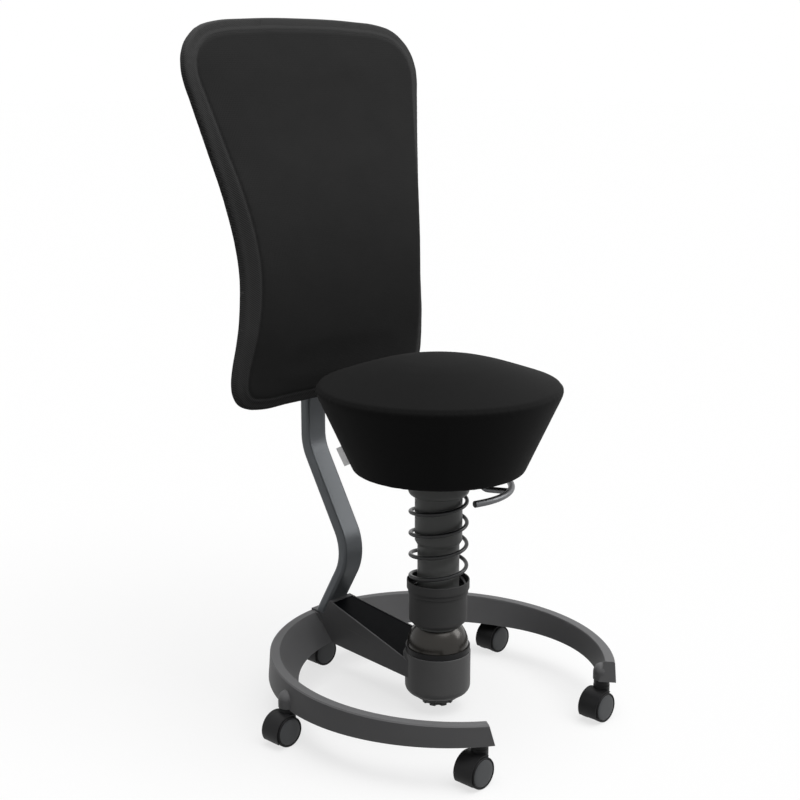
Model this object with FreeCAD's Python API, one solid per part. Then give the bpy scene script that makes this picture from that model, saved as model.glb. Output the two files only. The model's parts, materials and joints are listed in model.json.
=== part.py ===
import FreeCAD, Part
import math
import os

# Wobble stool with a backrest, in millimetres. +Z is up, the sitter faces -Y and the backrest
# stands at +Y. The origin is on the floor, under the axis of the column.

# Fits and gaps shared by several pieces
running_fit = 0.05
slide_fit = 0.3
thrust_gap = 0.4
seat_gap = 0.3
screw_fit = 0.2

# Casters: twin wheels under a hood, on a plain stem in a plastic socket
caster_names = ["back", "left", "front_left", "front_right", "right"]
caster_circle_radius = 275.0
caster_centre_y = 2.0
caster_side_angle = 18.0
caster_front_angle = 34.5
wheel_diameter = 50.0
wheel_width = 13.0
wheel_spacing = 14.0
wheel_edge_round = 3.0
wheel_dish_radius = 18.5
wheel_dish_depth = 1.2
axle_diameter = 6.0
axle_head_depth = 2.0
caster_trail = 12.0
hood_wall = 1.8
hood_gap = 0.9
hood_overlap = 10.5
hood_front_angle = 62.0
hood_rear_angle = 212.0
neck_radius = 13.5
neck_bottom_z = 30.0
stem_pin_diameter = 11.0
stem_pin_in_neck = 16.0
stem_pin_in_socket = 18.0
socket_wall = 2.0
socket_roof = 3.0
socket_low_z = 58.5
socket_flange_radius = 13.0
socket_flange = 1.5

# Base ring: an elliptical C, open to the front, deepest at the back
ring_half_width = 275.5
ring_half_length = 296.0
ring_centre_y = -6.5
ring_wall = 18.0
ring_flare = 3.0
ring_edge = 2.0
ring_top_z = 101.5
ring_depth_back = 43.0
ring_depth_front = 31.0
ring_level_y = 60.0
ring_foot_half_width = 245.5
ring_foot_half_length = 250.0
ring_foot_centre_y = -21.0
ring_end_angle = 33.0
ring_end_rake = 14.5
boss_radius = 14.5
boss_height = 27.0

# Arm from the back of the ring to the joint housing
arm_root_width = 51.0
arm_root_y = 239.0
arm_hub_width = 98.0
arm_hub_y = 39.0
arm_seam_lean = 24.0
arm_top_drop = 13.5
arm_bottom_root_z = 56.0
arm_bottom_hub_z = 60.0

# Backrest bracket: a wedge bolted on the arm, with an inlaid panel on top
bracket_rise = 34.0
bracket_hub_rise = 6.0
bracket_lip = 3.0
panel_recess = 1.0
panel_thickness = 2.0
panel_gap = 0.2
tongue_width = 40.0
tongue_thickness = 3.0
bracket_bolt_diameter = 8.0
bracket_bolt_head_diameter = 13.0
bracket_bolt_head_height = 8.0
bracket_bolt_reach = 9.0
bracket_bolt_places = [135.0, 180.0, 222.0]

# Backrest stem: flat steel tube bent twice, straight up behind the backrest
stem_width = 46.0
stem_depth = 20.0
stem_wall = 2.5
stem_edge = 6.0
stem_front_y = 287.5
stem_upper_bend_z = 408.0
stem_lower_bend_y = 183.0
stem_lower_bend_z = 226.5
stem_lower_lean = 29.5
stem_bend_radius = 80.0
stem_top_z = 660.0
stem_cap_thickness = 3.0
stem_cap_plug = 12.0
stem_screw_diameter = 8.0
stem_screw_head_diameter = 14.0
stem_screw_head_height = 4.0
stem_screw_engagement = 7.0
stem_screw_heights = [545.0, 625.0]

# Backrest: moulded rear board and a padded front with a bevelled border.
# Each station holds height, full width, front face y, widest line y and rear face y.
back_stations = [
    (485.0, 472.0, 240.0, 264.0, 289.0),
    (560.0, 449.0, 233.0, 256.0, 289.0),
    (640.0, 416.0, 216.0, 244.0, 289.0),
    (740.0, 403.0, 212.0, 246.0, 289.0),
    (840.0, 427.0, 228.0, 260.0, 295.0),
    (940.0, 472.0, 257.0, 280.0, 307.0),
    (1040.0, 516.0, 286.0, 301.0, 322.0),
    (1145.0, 524.0, 312.0, 322.0, 338.0),
]
back_bottom_z = 500.0
back_top_z = 1132.0
back_crown = 14.0
back_top_corner = 72.0
back_bottom_corner = 42.0
back_bottom_width = 468.0
back_top_width = 522.0
back_border = 15.0
back_rear_inset = 26.0
board_thickness = 9.0
board_inset = 10.0

# Joint housing on the arm, with its retaining ring, cover, buffer and knob
housing_radius = 55.0
housing_wall = 3.0
housing_floor = 11.0
housing_bottom_z = 28.0
housing_round = 15.0
clamp_ring_radius = 54.0
clamp_ring_height = 9.0
clamp_ring_gap = 0.5
cover_radius = 38.0
cover_thickness = 6.0
knob_radius = 26.0
knob_height = 11.0
knob_lobes = 8
knob_lobe_radius = 5.0
knob_screw_diameter = 12.0
knob_screw_reach = 6.0
buffer_radius = 48.0
buffer_bore_radius = 31.0
buffer_height = 41.5

# Tilting joint: hollow ball over a cross with two pairs of journals
pivot_z = 112.0
ball_radius = 51.4
ball_wall = 6.0
ball_skirt = 22.0
ball_neck_height = 35.0
ball_roof = 7.0
yoke_inner = 14.0
yoke_ear = 10.0
yoke_half_width = 9.0
cross_core = 12.0
journal_radius = 6.0
post_radius = 27.0
post_height = 40.0

# Lower column: guide tube on the ball, with the spring cup round its foot
tube_radius = 34.7
tube_wall = 3.5
tube_foot_radius = 37.4
tube_foot_height = 4.6
tube_top_z = 345.0
cup_height = 76.0
cup_body_radius = 48.4
cup_rim_radius = 52.2
cup_rim_height = 15.0
cup_bore_depth = 23.0
cup_chamfer = 6.4

# Coil spring between the cup and the collar
spring_radius = 46.3
spring_wire = 6.6
spring_pitch = 36.8
spring_mouth_gap = 0.4
spring_flat_share = 0.75
spring_top_share = 0.2
spring_rise_angle = -111.5
spring_steps_per_turn = 12

# Upper column: sliding tube with its bush, the collar and the lift tube
upper_radius = 39.2
upper_bore_radius = 37.0
upper_bottom_z = 289.0
upper_lip = 7.0
upper_roof = 4.0
bush_length = 45.0
collar_radius = 50.5
collar_bottom_z = 372.0
collar_height = 20.0
collar_round = 10.5
bounce_travel = 40.0
lift_tube_radius = 25.0
lift_tube_wall = 2.0
lift_tube_bottom_z = 196.0
lift_tube_floor = 5.0
lift_tube_flange = 3.0
lift_tube_flange_height = 4.0
lift_bush_length = 62.0

# Gas spring: rod on the lift tube's floor, cylinder fixed to the seat
gas_cylinder_radius = 14.0
gas_cylinder_bottom_z = 326.0
gas_cylinder_top_z = 524.0
gas_rod_radius = 5.0
gas_rod_grip = 20.0
gas_travel = 105.0
gas_bore_spare = 6.0
rod_shoulder_radius = 9.0
rod_shoulder_height = 3.0
bearing_radius = 12.0
bearing_height = 3.0
rod_clip_radius = 8.0
rod_clip_height = 3.0
pin_radius = 4.0
pin_length = 34.0
pin_stroke = 3.0

# Seat: steel hub and plate, wooden board, domed cushion and conical skirt
hub_radius = 24.0
hub_height = 38.0
plate_radius = 95.0
plate_thickness = 4.0
plate_z = 544.0
board_radius = 172.0
seat_board_thickness = 10.0
plate_screw_diameter = 6.0
plate_screw_circle = 80.0
plate_screw_count = 6
plate_screw_depth = 8.0
plate_screw_head_diameter = 11.0
plate_screw_head_height = 3.0
seat_top_z = 600.0
seat_radius = 200.0
seat_rim_z = 551.0
seat_rim_inset = 22.0
seat_rim_rise = 16.0
skirt_bottom_radius = 143.0
skirt_bottom_z = 418.5
skirt_brim_z = 546.0
skirt_wall = 15.0
skirt_edge = 3.0
tag_angle = 133.4
tag_width = 10.0
tag_length = 33.0
tag_thickness = 1.0
tag_z = 424.0

# Release lever: bent rod through the hub to the release pin
lever_radius = 5.0
lever_angle = -64.0
lever_tip_overrun = 3.0
lever_leg_circle = 70.0
lever_handle_circle = 119.0
lever_handle_sweep = 46.0
lever_handle_tail = 26.0
lever_handle_radius = 5.5
lever_handle_z = 388.0
lever_bend = 14.0
lever_plate_gap = 3.5
lever_pivot_circle = 36.0
lever_pivot_radius = 2.5
lever_ear_gap = 0.6
lever_ear = 3.0
lever_ear_length = 10.0
lever_ear_drop = 13.0
lever_slot_gap = 1.0

Vec = FreeCAD.Vector
up = Vec(0, 0, 1)
full_turn = 360


def save(name, *solids):
    shape = solids[0] if len(solids) == 1 else Part.makeCompound(list(solids))
    shape.exportStep("parts/" + name + ".step")


def whole(shape):
    return shape.Solids[0] if len(shape.Solids) == 1 else shape


def fuse(shape, *others):
    for other in others:
        shape = shape.fuse(other)
    return whole(shape)


def cut(shape, *tools):
    for tool in tools:
        shape = shape.cut(tool)
    return whole(shape)


def disc(radius, low, high, x=0.0, y=0.0):
    return Part.makeCylinder(radius, high - low, Vec(x, y, low))


def block(x_low, x_high, y_low, y_high, z_low, z_high):
    return Part.makeBox(x_high - x_low, y_high - y_low, z_high - z_low, Vec(x_low, y_low, z_low))


def turned(profile):
    wire = Part.makePolygon([Vec(r, 0, z) for r, z in profile + profile[:1]])
    return whole(Part.Face(wire).revolve(Vec(0, 0, 0), up, full_turn))


def side_prism(profile, half_width):
    wire = Part.makePolygon([Vec(-half_width, y, z) for y, z in profile + profile[:1]])
    return Part.Face(wire).extrude(Vec(2 * half_width, 0, 0))


def plan_prism(profile, low, high):
    wire = Part.makePolygon([Vec(x, y, low) for x, y in profile + profile[:1]])
    return Part.Face(wire).extrude(Vec(0, 0, high - low))


def rounded(shape, radius, is_wanted):
    return shape.makeFillet(radius, [edge for edge in shape.Edges if is_wanted(edge)])


def circle_at(radius, z):
    def is_wanted(edge):
        curve = edge.Curve
        if not isinstance(curve, Part.Circle):
            return False
        return abs(curve.Radius - radius) < 0.01 and abs(curve.Center.z - z) < 0.01
    return is_wanted


def polar(radius, degrees, z=0.0):
    angle = math.radians(degrees)
    return Vec(radius * math.cos(angle), radius * math.sin(angle), z)


def bent_rod(points, bend, radius):
    # Straight runs joined by tangent arcs, swept with a round section.
    edges = []
    start = points[0]
    for before, corner, after in zip(points, points[1:], points[2:]):
        into = (before - corner).normalize()
        out = (after - corner).normalize()
        half_angle = into.getAngle(out) / 2
        room = 0.48 * min((before - corner).Length, (after - corner).Length)
        setback = min(bend / math.tan(half_angle), room)
        arc_radius = setback * math.tan(half_angle)
        first = corner + into * setback
        last = corner + out * setback
        middle_way = (into + out).normalize()
        middle = corner + middle_way * (arc_radius / math.sin(half_angle) - arc_radius)
        edges.append(Part.makeLine(start, first))
        edges.append(Part.Arc(first, middle, last).toShape())
        start = last
    edges.append(Part.makeLine(start, points[-1]))
    path = Part.Wire(edges)
    section = Part.Wire(Part.makeCircle(radius, points[0], points[1] - points[0]))
    return whole(path.makePipe(Part.Face(section)))


os.makedirs("parts", exist_ok=True)

# Base ring
# The outer wall flares a little towards the floor and the inner wall much more, most at the back.
# The top edges are bevelled and the ends lean forward.
ring_back_y = ring_centre_y + ring_half_length
ring_low_z = ring_top_z - max(ring_depth_back, ring_depth_front)
ring_end_radius = math.hypot(ring_half_width, ring_half_length) / math.sqrt(2)


def level_ellipse(half_x, half_y, centre_y, z):
    centre = Vec(0, centre_y, z)
    along_x = Vec(half_x, centre_y, z)
    along_y = Vec(0, centre_y + half_y, z)
    ends = [along_y, along_x] if half_y >= half_x else [along_x, along_y]
    return Part.Wire(Part.Ellipse(ends[0], ends[1], centre).toShape())


def ring_outline(inset, z):
    return level_ellipse(ring_half_width - inset, ring_half_length - inset, ring_centre_y, z)


def ring_mouth(z):
    lean = (ring_top_z - z) * math.tan(math.radians(ring_end_rake)) / ring_end_radius
    reach = 2 * ring_half_length
    side = reach * math.tan(math.radians(ring_end_angle) - lean)
    return Part.makePolygon([Vec(0, 0, z), Vec(-side, -reach, z), Vec(side, -reach, z), Vec(0, 0, z)])


def ring_under_z(y):
    share = min(1.0, (y + ring_half_length) / (ring_level_y + ring_half_length))
    return ring_top_z - ring_depth_front - share * (ring_depth_back - ring_depth_front)


ring_edge_z = ring_top_z - ring_edge
ring_outer = Part.makeLoft([
    ring_outline(-ring_flare, ring_low_z),
    ring_outline(0, ring_edge_z),
    ring_outline(ring_edge, ring_top_z)], True, True)
ring_inner = Part.makeLoft([
    level_ellipse(ring_foot_half_width, ring_foot_half_length, ring_foot_centre_y, ring_low_z),
    ring_outline(ring_wall, ring_edge_z),
    ring_outline(ring_wall - ring_edge, ring_top_z)], True, True)
ring_opening = Part.makeLoft([ring_mouth(ring_low_z), ring_mouth(ring_top_z)], True, True)
under_front_y = -2 * ring_half_length
under_back_y = 2 * ring_half_length
ring_underside = side_prism([
    (under_front_y, ring_under_z(under_front_y)),
    (ring_level_y, ring_under_z(ring_level_y)),
    (under_back_y, ring_under_z(under_back_y)),
    (under_back_y, ring_low_z - ring_depth_back),
    (under_front_y, ring_low_z - ring_depth_back)], 2 * ring_half_width)

root_top_y = arm_root_y + arm_seam_lean
root_low_z = ring_under_z(arm_root_y)
root_back_y = ring_back_y - ring_wall / 2
ring_root = side_prism([
    (root_back_y, ring_top_z), (root_top_y, ring_top_z),
    (arm_root_y, root_low_z), (root_back_y, root_low_z)], arm_root_width / 2)

caster_angles = {
    "back": 90.0,
    "left": 180.0 - caster_side_angle,
    "front_left": 270.0 - caster_front_angle,
    "front_right": 270.0 + caster_front_angle,
    "right": caster_side_angle}
caster_places = {}
for caster in caster_names:
    caster_places[caster] = polar(caster_circle_radius, caster_angles[caster]) + Vec(0, caster_centre_y, 0)


def boss_low_z(place):
    # Under the ring where it is high, and let into it where it is low.
    return max(ring_under_z(place.y), socket_low_z + socket_flange)


socket_radius = stem_pin_diameter / 2 + running_fit + socket_wall
socket_top_z = socket_low_z + stem_pin_in_socket + socket_roof
ring_bosses = []
socket_holes = []
for place in caster_places.values():
    boss_z = boss_low_z(place)
    boss_dome_z = boss_z + boss_height - boss_radius
    ring_bosses.append(disc(boss_radius, boss_z, boss_dome_z, place.x, place.y))
    ring_bosses.append(Part.makeSphere(boss_radius, Vec(place.x, place.y, boss_dome_z)))
    socket_holes.append(disc(socket_radius, socket_low_z, socket_top_z, place.x, place.y))
    flange_reach = socket_flange_radius + seat_gap
    socket_holes.append(disc(flange_reach, 0, boss_z, place.x, place.y))

# The arm lies against the root's leaning seam, in a gap left in the flared wall.
arm_spread = (arm_hub_width - arm_root_width) / 2 / (arm_root_y - arm_hub_y)
seam_slope = arm_seam_lean / (ring_top_z - root_low_z)
arm_end_y = housing_radius * 0.3


def arm_half_width(y):
    return arm_root_width / 2 + (arm_root_y - y) * arm_spread


def arm_plan(inset, front_y, back_y, low, high):
    front = arm_half_width(front_y) - inset
    back = arm_half_width(back_y) - inset
    return plan_prism([(-front, front_y), (front, front_y), (back, back_y), (-back, back_y)], low, high)


arm_gap = side_prism([
    (arm_end_y, 0), (arm_root_y - root_low_z * seam_slope, 0),
    (root_top_y, ring_top_z), (arm_end_y, ring_top_z)], arm_hub_width)
arm_gap = arm_gap.common(arm_plan(-seat_gap, arm_end_y, root_top_y, 0, ring_top_z))

base_ring = cut(ring_outer, ring_inner, ring_opening, ring_underside, arm_gap)
base_ring = fuse(base_ring, ring_root, *ring_bosses)
save("base_ring", cut(base_ring, *socket_holes))

sockets = []
for place in caster_places.values():
    sleeve = disc(socket_radius, socket_low_z, socket_top_z, place.x, place.y)
    flange = disc(socket_flange_radius, socket_low_z, boss_low_z(place), place.x, place.y)
    bore_top_z = socket_low_z + stem_pin_in_socket + thrust_gap
    bore_radius = stem_pin_diameter / 2 + running_fit
    sockets.append(cut(fuse(sleeve, flange), disc(bore_radius, socket_low_z, bore_top_z, place.x, place.y)))
save("caster_sockets", *sockets)

# Casters
# Each body is the web between the wheels, the hood over their treads and the neck of the stem.
wheel_radius = wheel_diameter / 2
wheel_inner_y = wheel_spacing / 2
wheel_outer_y = wheel_inner_y + wheel_width
hood_inner_radius = wheel_radius + hood_gap
hood_outer_radius = hood_inner_radius + hood_wall
hood_half_width = wheel_inner_y + hood_overlap
web_half_width = wheel_inner_y - thrust_gap
neck_top_z = socket_low_z - thrust_gap
axle_radius = axle_diameter / 2


def crosswise(radius, low_y, high_y, centre):
    return Part.makeCylinder(radius, high_y - low_y, Vec(centre.x, centre.y + low_y, centre.z), Vec(0, 1, 0))


def hood_sector(half_width, centre):
    reach = 4 * hood_outer_radius
    fan = [Vec(0, 0, 0)]
    for step in range(4):
        turn = hood_front_angle + step * (hood_rear_angle - hood_front_angle) / 3
        angle = math.radians(turn)
        fan.append(Vec(reach * math.cos(angle), 0, reach * math.sin(angle)))
    corner = Vec(centre.x, centre.y - half_width, centre.z)
    wire = Part.makePolygon([corner + point for point in fan + fan[:1]])
    return Part.Face(wire).extrude(Vec(0, 2 * half_width, 0))


def wheel(side, centre):
    near = side * wheel_inner_y
    far = side * wheel_outer_y
    low, high = min(near, far), max(near, far)
    tread = crosswise(wheel_radius, low, high, centre)
    rims = [edge for edge in tread.Edges if isinstance(edge.Curve, Part.Circle)]
    tread = tread.makeFillet(wheel_edge_round, rims)
    dish_from = far - side * wheel_dish_depth
    dish = crosswise(wheel_dish_radius, min(dish_from, far), max(dish_from, far), centre)
    cup = crosswise(wheel_dish_radius, min(near, near + side * wheel_dish_depth),
                    max(near, near + side * wheel_dish_depth), centre)
    axle_hole_end = dish_from - side * wheel_dish_depth
    hole = crosswise(axle_radius + running_fit, min(near, axle_hole_end), max(near, axle_hole_end), centre)
    return cut(tread, dish, cup, hole)


for caster, place in caster_places.items():
    hub = Vec(place.x - caster_trail, place.y, wheel_radius)
    hood = cut(crosswise(hood_outer_radius, -hood_half_width, hood_half_width, hub),
               crosswise(hood_inner_radius, -hood_half_width, hood_half_width, hub))
    hood = whole(hood.common(hood_sector(hood_half_width, hub)))
    web = crosswise(hood_outer_radius, -web_half_width, web_half_width, hub)
    web = whole(web.common(hood_sector(web_half_width, hub)))
    web_core = crosswise(2 * axle_diameter, -web_half_width, web_half_width, hub)
    neck = disc(neck_radius, neck_bottom_z, neck_top_z, place.x, place.y)
    bridge = block(hub.x, place.x, place.y - web_half_width, place.y + web_half_width,
                   neck_bottom_z, wheel_radius + hood_inner_radius)
    body = fuse(hood, web, web_core, neck, bridge)
    for side in (-1, 1):
        near = side * web_half_width
        far = side * 2 * wheel_outer_y
        well = crosswise(hood_inner_radius, min(near, far), max(near, far), hub)
        body = cut(body, well)
    pin_low_z = neck_top_z - stem_pin_in_neck
    body = cut(body, disc(stem_pin_diameter / 2, pin_low_z, neck_top_z, place.x, place.y),
               crosswise(axle_radius, -web_half_width, web_half_width, hub))
    save("caster_" + caster + "_body", body)
    pin_top_z = socket_low_z + stem_pin_in_socket
    stem_pin = disc(stem_pin_diameter / 2, pin_low_z, pin_top_z, place.x, place.y)
    axle_half = wheel_outer_y - 2 * wheel_dish_depth - thrust_gap
    save("caster_" + caster + "_pins", stem_pin, crosswise(axle_radius, -axle_half, axle_half, hub))
    save("caster_" + caster + "_wheel_near", wheel(-1, hub))
    save("caster_" + caster + "_wheel_far", wheel(1, hub))

# Joint housing
# A deep turned pot that the arm runs into; the ball sits in its open top.
clamp_ring_top_z = pivot_z
clamp_ring_low_z = clamp_ring_top_z - clamp_ring_height
housing_top_z = clamp_ring_low_z - clamp_ring_gap
housing_floor_z = housing_bottom_z + housing_floor
knob_screw_radius = knob_screw_diameter / 2
housing = disc(housing_radius, housing_bottom_z, housing_top_z)
housing = rounded(housing, housing_round, circle_at(housing_radius, housing_bottom_z))
housing_bore_radius = housing_radius - housing_wall
housing = cut(housing, disc(housing_bore_radius, housing_floor_z, housing_top_z),
              disc(knob_screw_radius + running_fit, housing_bottom_z, housing_floor_z))
save("joint_housing", housing)

# The retaining ring wipes the ball and stands on a narrow register in the housing's mouth.
register_wall = (housing_wall - running_fit) / 2
wipe_radius = ball_radius + slide_fit
clamp_ring = turned([
    (wipe_radius, housing_top_z), (housing_radius - register_wall, housing_top_z),
    (housing_radius - register_wall, clamp_ring_low_z), (clamp_ring_radius, clamp_ring_low_z),
    (clamp_ring_radius, clamp_ring_top_z), (wipe_radius, clamp_ring_top_z)])
save("clamp_ring", clamp_ring)

cover_low_z = housing_bottom_z - cover_thickness
save("housing_cover", cut(disc(cover_radius, cover_low_z, housing_bottom_z),
                          disc(knob_screw_radius + running_fit, cover_low_z, housing_bottom_z)))

knob_top_z = cover_low_z - thrust_gap
knob_low_z = knob_top_z - knob_height
knob = disc(knob_radius, knob_low_z, knob_top_z)
for lobe in range(knob_lobes):
    spot = polar(knob_radius, lobe * full_turn / knob_lobes)
    knob = cut(knob, disc(knob_lobe_radius, knob_low_z, knob_top_z, spot.x, spot.y))
knob_screw = disc(knob_screw_radius, knob_top_z, housing_floor_z + knob_screw_reach)
save("tilt_knob", fuse(knob, knob_screw))

buffer_top_z = housing_floor_z + buffer_height
tilt_buffer = cut(disc(buffer_radius, housing_floor_z, buffer_top_z),
                  disc(buffer_bore_radius, housing_floor_z, buffer_top_z))
save("tilt_buffer", tilt_buffer)

# Tilting joint
# The post's ears carry the cross along X, and the ball's ears hang on the cross along Y.
ear_outer = yoke_inner + yoke_ear
ear_tip = journal_radius + yoke_ear / 2
journal_bore = journal_radius + running_fit
post_top_z = housing_floor_z + post_height
post = disc(post_radius, housing_floor_z, post_top_z)
for side in (-1, 1):
    low_x = min(side * yoke_inner, side * ear_outer)
    ear = block(low_x, low_x + yoke_ear, -yoke_half_width, yoke_half_width, post_top_z, pivot_z)
    tip = Part.makeCylinder(yoke_half_width, yoke_ear, Vec(low_x, 0, pivot_z), Vec(1, 0, 0))
    post = fuse(post, ear, tip)
bore = Part.makeCylinder(journal_bore, 2 * ear_outer, Vec(-ear_outer, 0, pivot_z), Vec(1, 0, 0))
post = cut(post, bore, disc(knob_screw_radius + running_fit, housing_floor_z, housing_floor_z + 2 * knob_screw_reach))
save("joint_post", post)

cross = block(-cross_core, cross_core, -cross_core, cross_core, pivot_z - cross_core, pivot_z + cross_core)
for axis in (Vec(1, 0, 0), Vec(0, 1, 0)):
    journal = Part.makeCylinder(journal_radius, 2 * ear_outer, up * pivot_z - axis * ear_outer, axis)
    cross = fuse(cross, journal)
save("joint_cross", cross)

ball_low_z = pivot_z - ball_skirt
ball_top_z = pivot_z + ball_neck_height
ball_inner_radius = ball_radius - ball_wall
ball_centre = up * pivot_z
ball_zone = block(-ball_radius, ball_radius, -ball_radius, ball_radius, ball_low_z, ball_top_z)
hollow_zone = block(-ball_radius, ball_radius, -ball_radius, ball_radius, ball_low_z, ball_top_z - ball_roof)
ball = Part.makeSphere(ball_radius, ball_centre).common(ball_zone)
ball = cut(ball, Part.makeSphere(ball_inner_radius, ball_centre).common(hollow_zone))
ear_top_z = ball_top_z - ball_roof
for side in (-1, 1):
    low_y = min(side * yoke_inner, side * ear_outer)
    ear = block(-yoke_half_width, yoke_half_width, low_y, low_y + yoke_ear, pivot_z, ear_top_z)
    tip = Part.makeCylinder(yoke_half_width, yoke_ear, Vec(0, low_y, pivot_z), Vec(0, 1, 0))
    ball = fuse(ball, ear, tip)
ball = cut(ball, Part.makeCylinder(journal_bore, 2 * ear_outer, Vec(0, -ear_outer, pivot_z), Vec(0, 1, 0)))
save("joint_ball", ball)

# Guide tube: a flanged foot welded down on the ball, and a smooth tube above it.
tube_inner_radius = tube_radius - tube_wall
foot_top_z = ball_top_z + tube_foot_height
guide_tube = fuse(disc(tube_foot_radius, ball_top_z, foot_top_z), disc(tube_radius, foot_top_z, tube_top_z))
guide_tube = cut(guide_tube, disc(tube_inner_radius, foot_top_z, tube_top_z))
save("guide_tube", guide_tube)

# Spring cup: stands on the guide tube's foot and holds the lowest turn of the spring.
cup_low_z = foot_top_z
cup_top_z = cup_low_z + cup_height
cup_rim_z = cup_top_z - cup_rim_height
cup_seat_z = cup_top_z - cup_bore_depth
cup_bore_radius = spring_radius + spring_wire / 2 + spring_mouth_gap
spring_cup = turned([
    (tube_radius + running_fit, cup_low_z), (cup_body_radius - cup_chamfer, cup_low_z),
    (cup_body_radius, cup_low_z + cup_chamfer), (cup_body_radius, cup_rim_z),
    (cup_rim_radius, cup_rim_z), (cup_rim_radius, cup_top_z), (cup_bore_radius, cup_top_z),
    (cup_bore_radius, cup_seat_z), (tube_radius + running_fit, cup_seat_z)])
save("spring_cup", spring_cup)

# Upper tube: slides on the guide tube through a bush, and carries the spring collar.
upper_top_z = collar_bottom_z + collar_height
upper_bore_top_z = upper_top_z - upper_roof
upper_tube = turned([
    (tube_radius + slide_fit, upper_bottom_z), (tube_radius + 2 * slide_fit, upper_bottom_z),
    (upper_radius, upper_bottom_z + upper_lip), (upper_radius, upper_top_z),
    (lift_tube_radius, upper_top_z), (lift_tube_radius, upper_bore_top_z),
    (upper_bore_radius, upper_bore_top_z), (upper_bore_radius, upper_bottom_z + upper_lip),
    (tube_radius + slide_fit, upper_bottom_z + upper_lip)])
save("upper_tube", upper_tube)

bush_low_z = upper_bottom_z + upper_lip
save("slide_bush", cut(disc(upper_bore_radius, bush_low_z, bush_low_z + bush_length),
                       disc(tube_radius + running_fit, bush_low_z, bush_low_z + bush_length)))

collar = disc(collar_radius, collar_bottom_z, upper_top_z)
collar = rounded(collar, collar_round, circle_at(collar_radius, collar_bottom_z))
save("spring_collar", cut(collar, disc(upper_radius, collar_bottom_z, upper_top_z)))

# Coil spring: open turns, a flat end turn in the cup and a short flat end under the collar.
spring_low_z = cup_seat_z + spring_wire / 2 + spring_mouth_gap
spring_reach = collar_round + spring_wire / 2 + spring_mouth_gap
spring_beside = spring_radius - (collar_radius - collar_round)
spring_high_z = collar_bottom_z + collar_round - math.sqrt(spring_reach ** 2 - spring_beside ** 2)
spring_rise_turn = full_turn * (spring_high_z - spring_low_z) / spring_pitch
spring_flat_turn = full_turn * spring_flat_share
spring_first = spring_rise_angle - spring_flat_turn
spring_total = spring_rise_turn + spring_flat_turn + full_turn * spring_top_share
spring_steps = round(spring_total * spring_steps_per_turn / full_turn)
spring_corner_radius = spring_radius / math.cos(math.pi / spring_steps_per_turn)
spring_points = []
for step in range(spring_steps + 1):
    turn = spring_first + step * spring_total / spring_steps
    height = spring_low_z + (turn - spring_rise_angle) * spring_pitch / full_turn
    height = min(max(height, spring_low_z), spring_high_z)
    is_end = step in (0, spring_steps)
    spring_points.append(polar(spring_radius if is_end else spring_corner_radius, turn, height))
save("coil_spring", bent_rod(spring_points, spring_radius, spring_wire / 2))

# Lift tube: hangs in the upper tube; the gas rod stands on its floor and turns there.
lift_top_z = upper_top_z + lift_tube_flange_height
lift_floor_z = lift_tube_bottom_z + lift_tube_floor
lift_bore_radius = lift_tube_radius - lift_tube_wall
lift_tube = fuse(disc(lift_tube_radius, lift_tube_bottom_z, upper_top_z),
                 disc(lift_tube_radius + lift_tube_flange, upper_top_z, lift_top_z))
lift_tube = cut(lift_tube, disc(lift_bore_radius, lift_floor_z, lift_top_z),
                disc(gas_rod_radius + running_fit, lift_tube_bottom_z, lift_floor_z))
save("lift_tube", lift_tube)
lift_bush_low_z = lift_top_z - lift_bush_length
save("lift_bush", cut(disc(lift_bore_radius, lift_bush_low_z, lift_top_z),
                      disc(gas_cylinder_radius + running_fit, lift_bush_low_z, lift_top_z)))

bearing_top_z = lift_floor_z + bearing_height
save("thrust_bearing", cut(disc(bearing_radius, lift_floor_z, bearing_top_z),
                           disc(gas_rod_radius + running_fit, lift_floor_z, bearing_top_z)))

rod_top_z = gas_cylinder_bottom_z + gas_rod_grip
shoulder_low_z = bearing_top_z + running_fit
clip_high_z = lift_tube_bottom_z - thrust_gap
gas_rod = fuse(disc(gas_rod_radius, clip_high_z - rod_clip_height, rod_top_z),
               disc(rod_shoulder_radius, shoulder_low_z, shoulder_low_z + rod_shoulder_height),
               disc(rod_clip_radius, clip_high_z - rod_clip_height, clip_high_z))
save("gas_rod", gas_rod)

bore_top_z = rod_top_z + gas_travel + gas_bore_spare
pin_hole_z = gas_cylinder_top_z - pin_length
gas_cylinder = cut(disc(gas_cylinder_radius, gas_cylinder_bottom_z, gas_cylinder_top_z),
                   disc(gas_rod_radius + running_fit, gas_cylinder_bottom_z, bore_top_z),
                   disc(pin_radius + running_fit, pin_hole_z, gas_cylinder_top_z))
save("gas_cylinder", gas_cylinder)

lever_arm_z = plate_z - lever_radius - lever_plate_gap
pin_top_z = lever_arm_z - lever_radius - seat_gap
pin_low_z = pin_hole_z + pin_stroke + thrust_gap
save("release_pin", disc(pin_radius, pin_low_z, pin_top_z))

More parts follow.
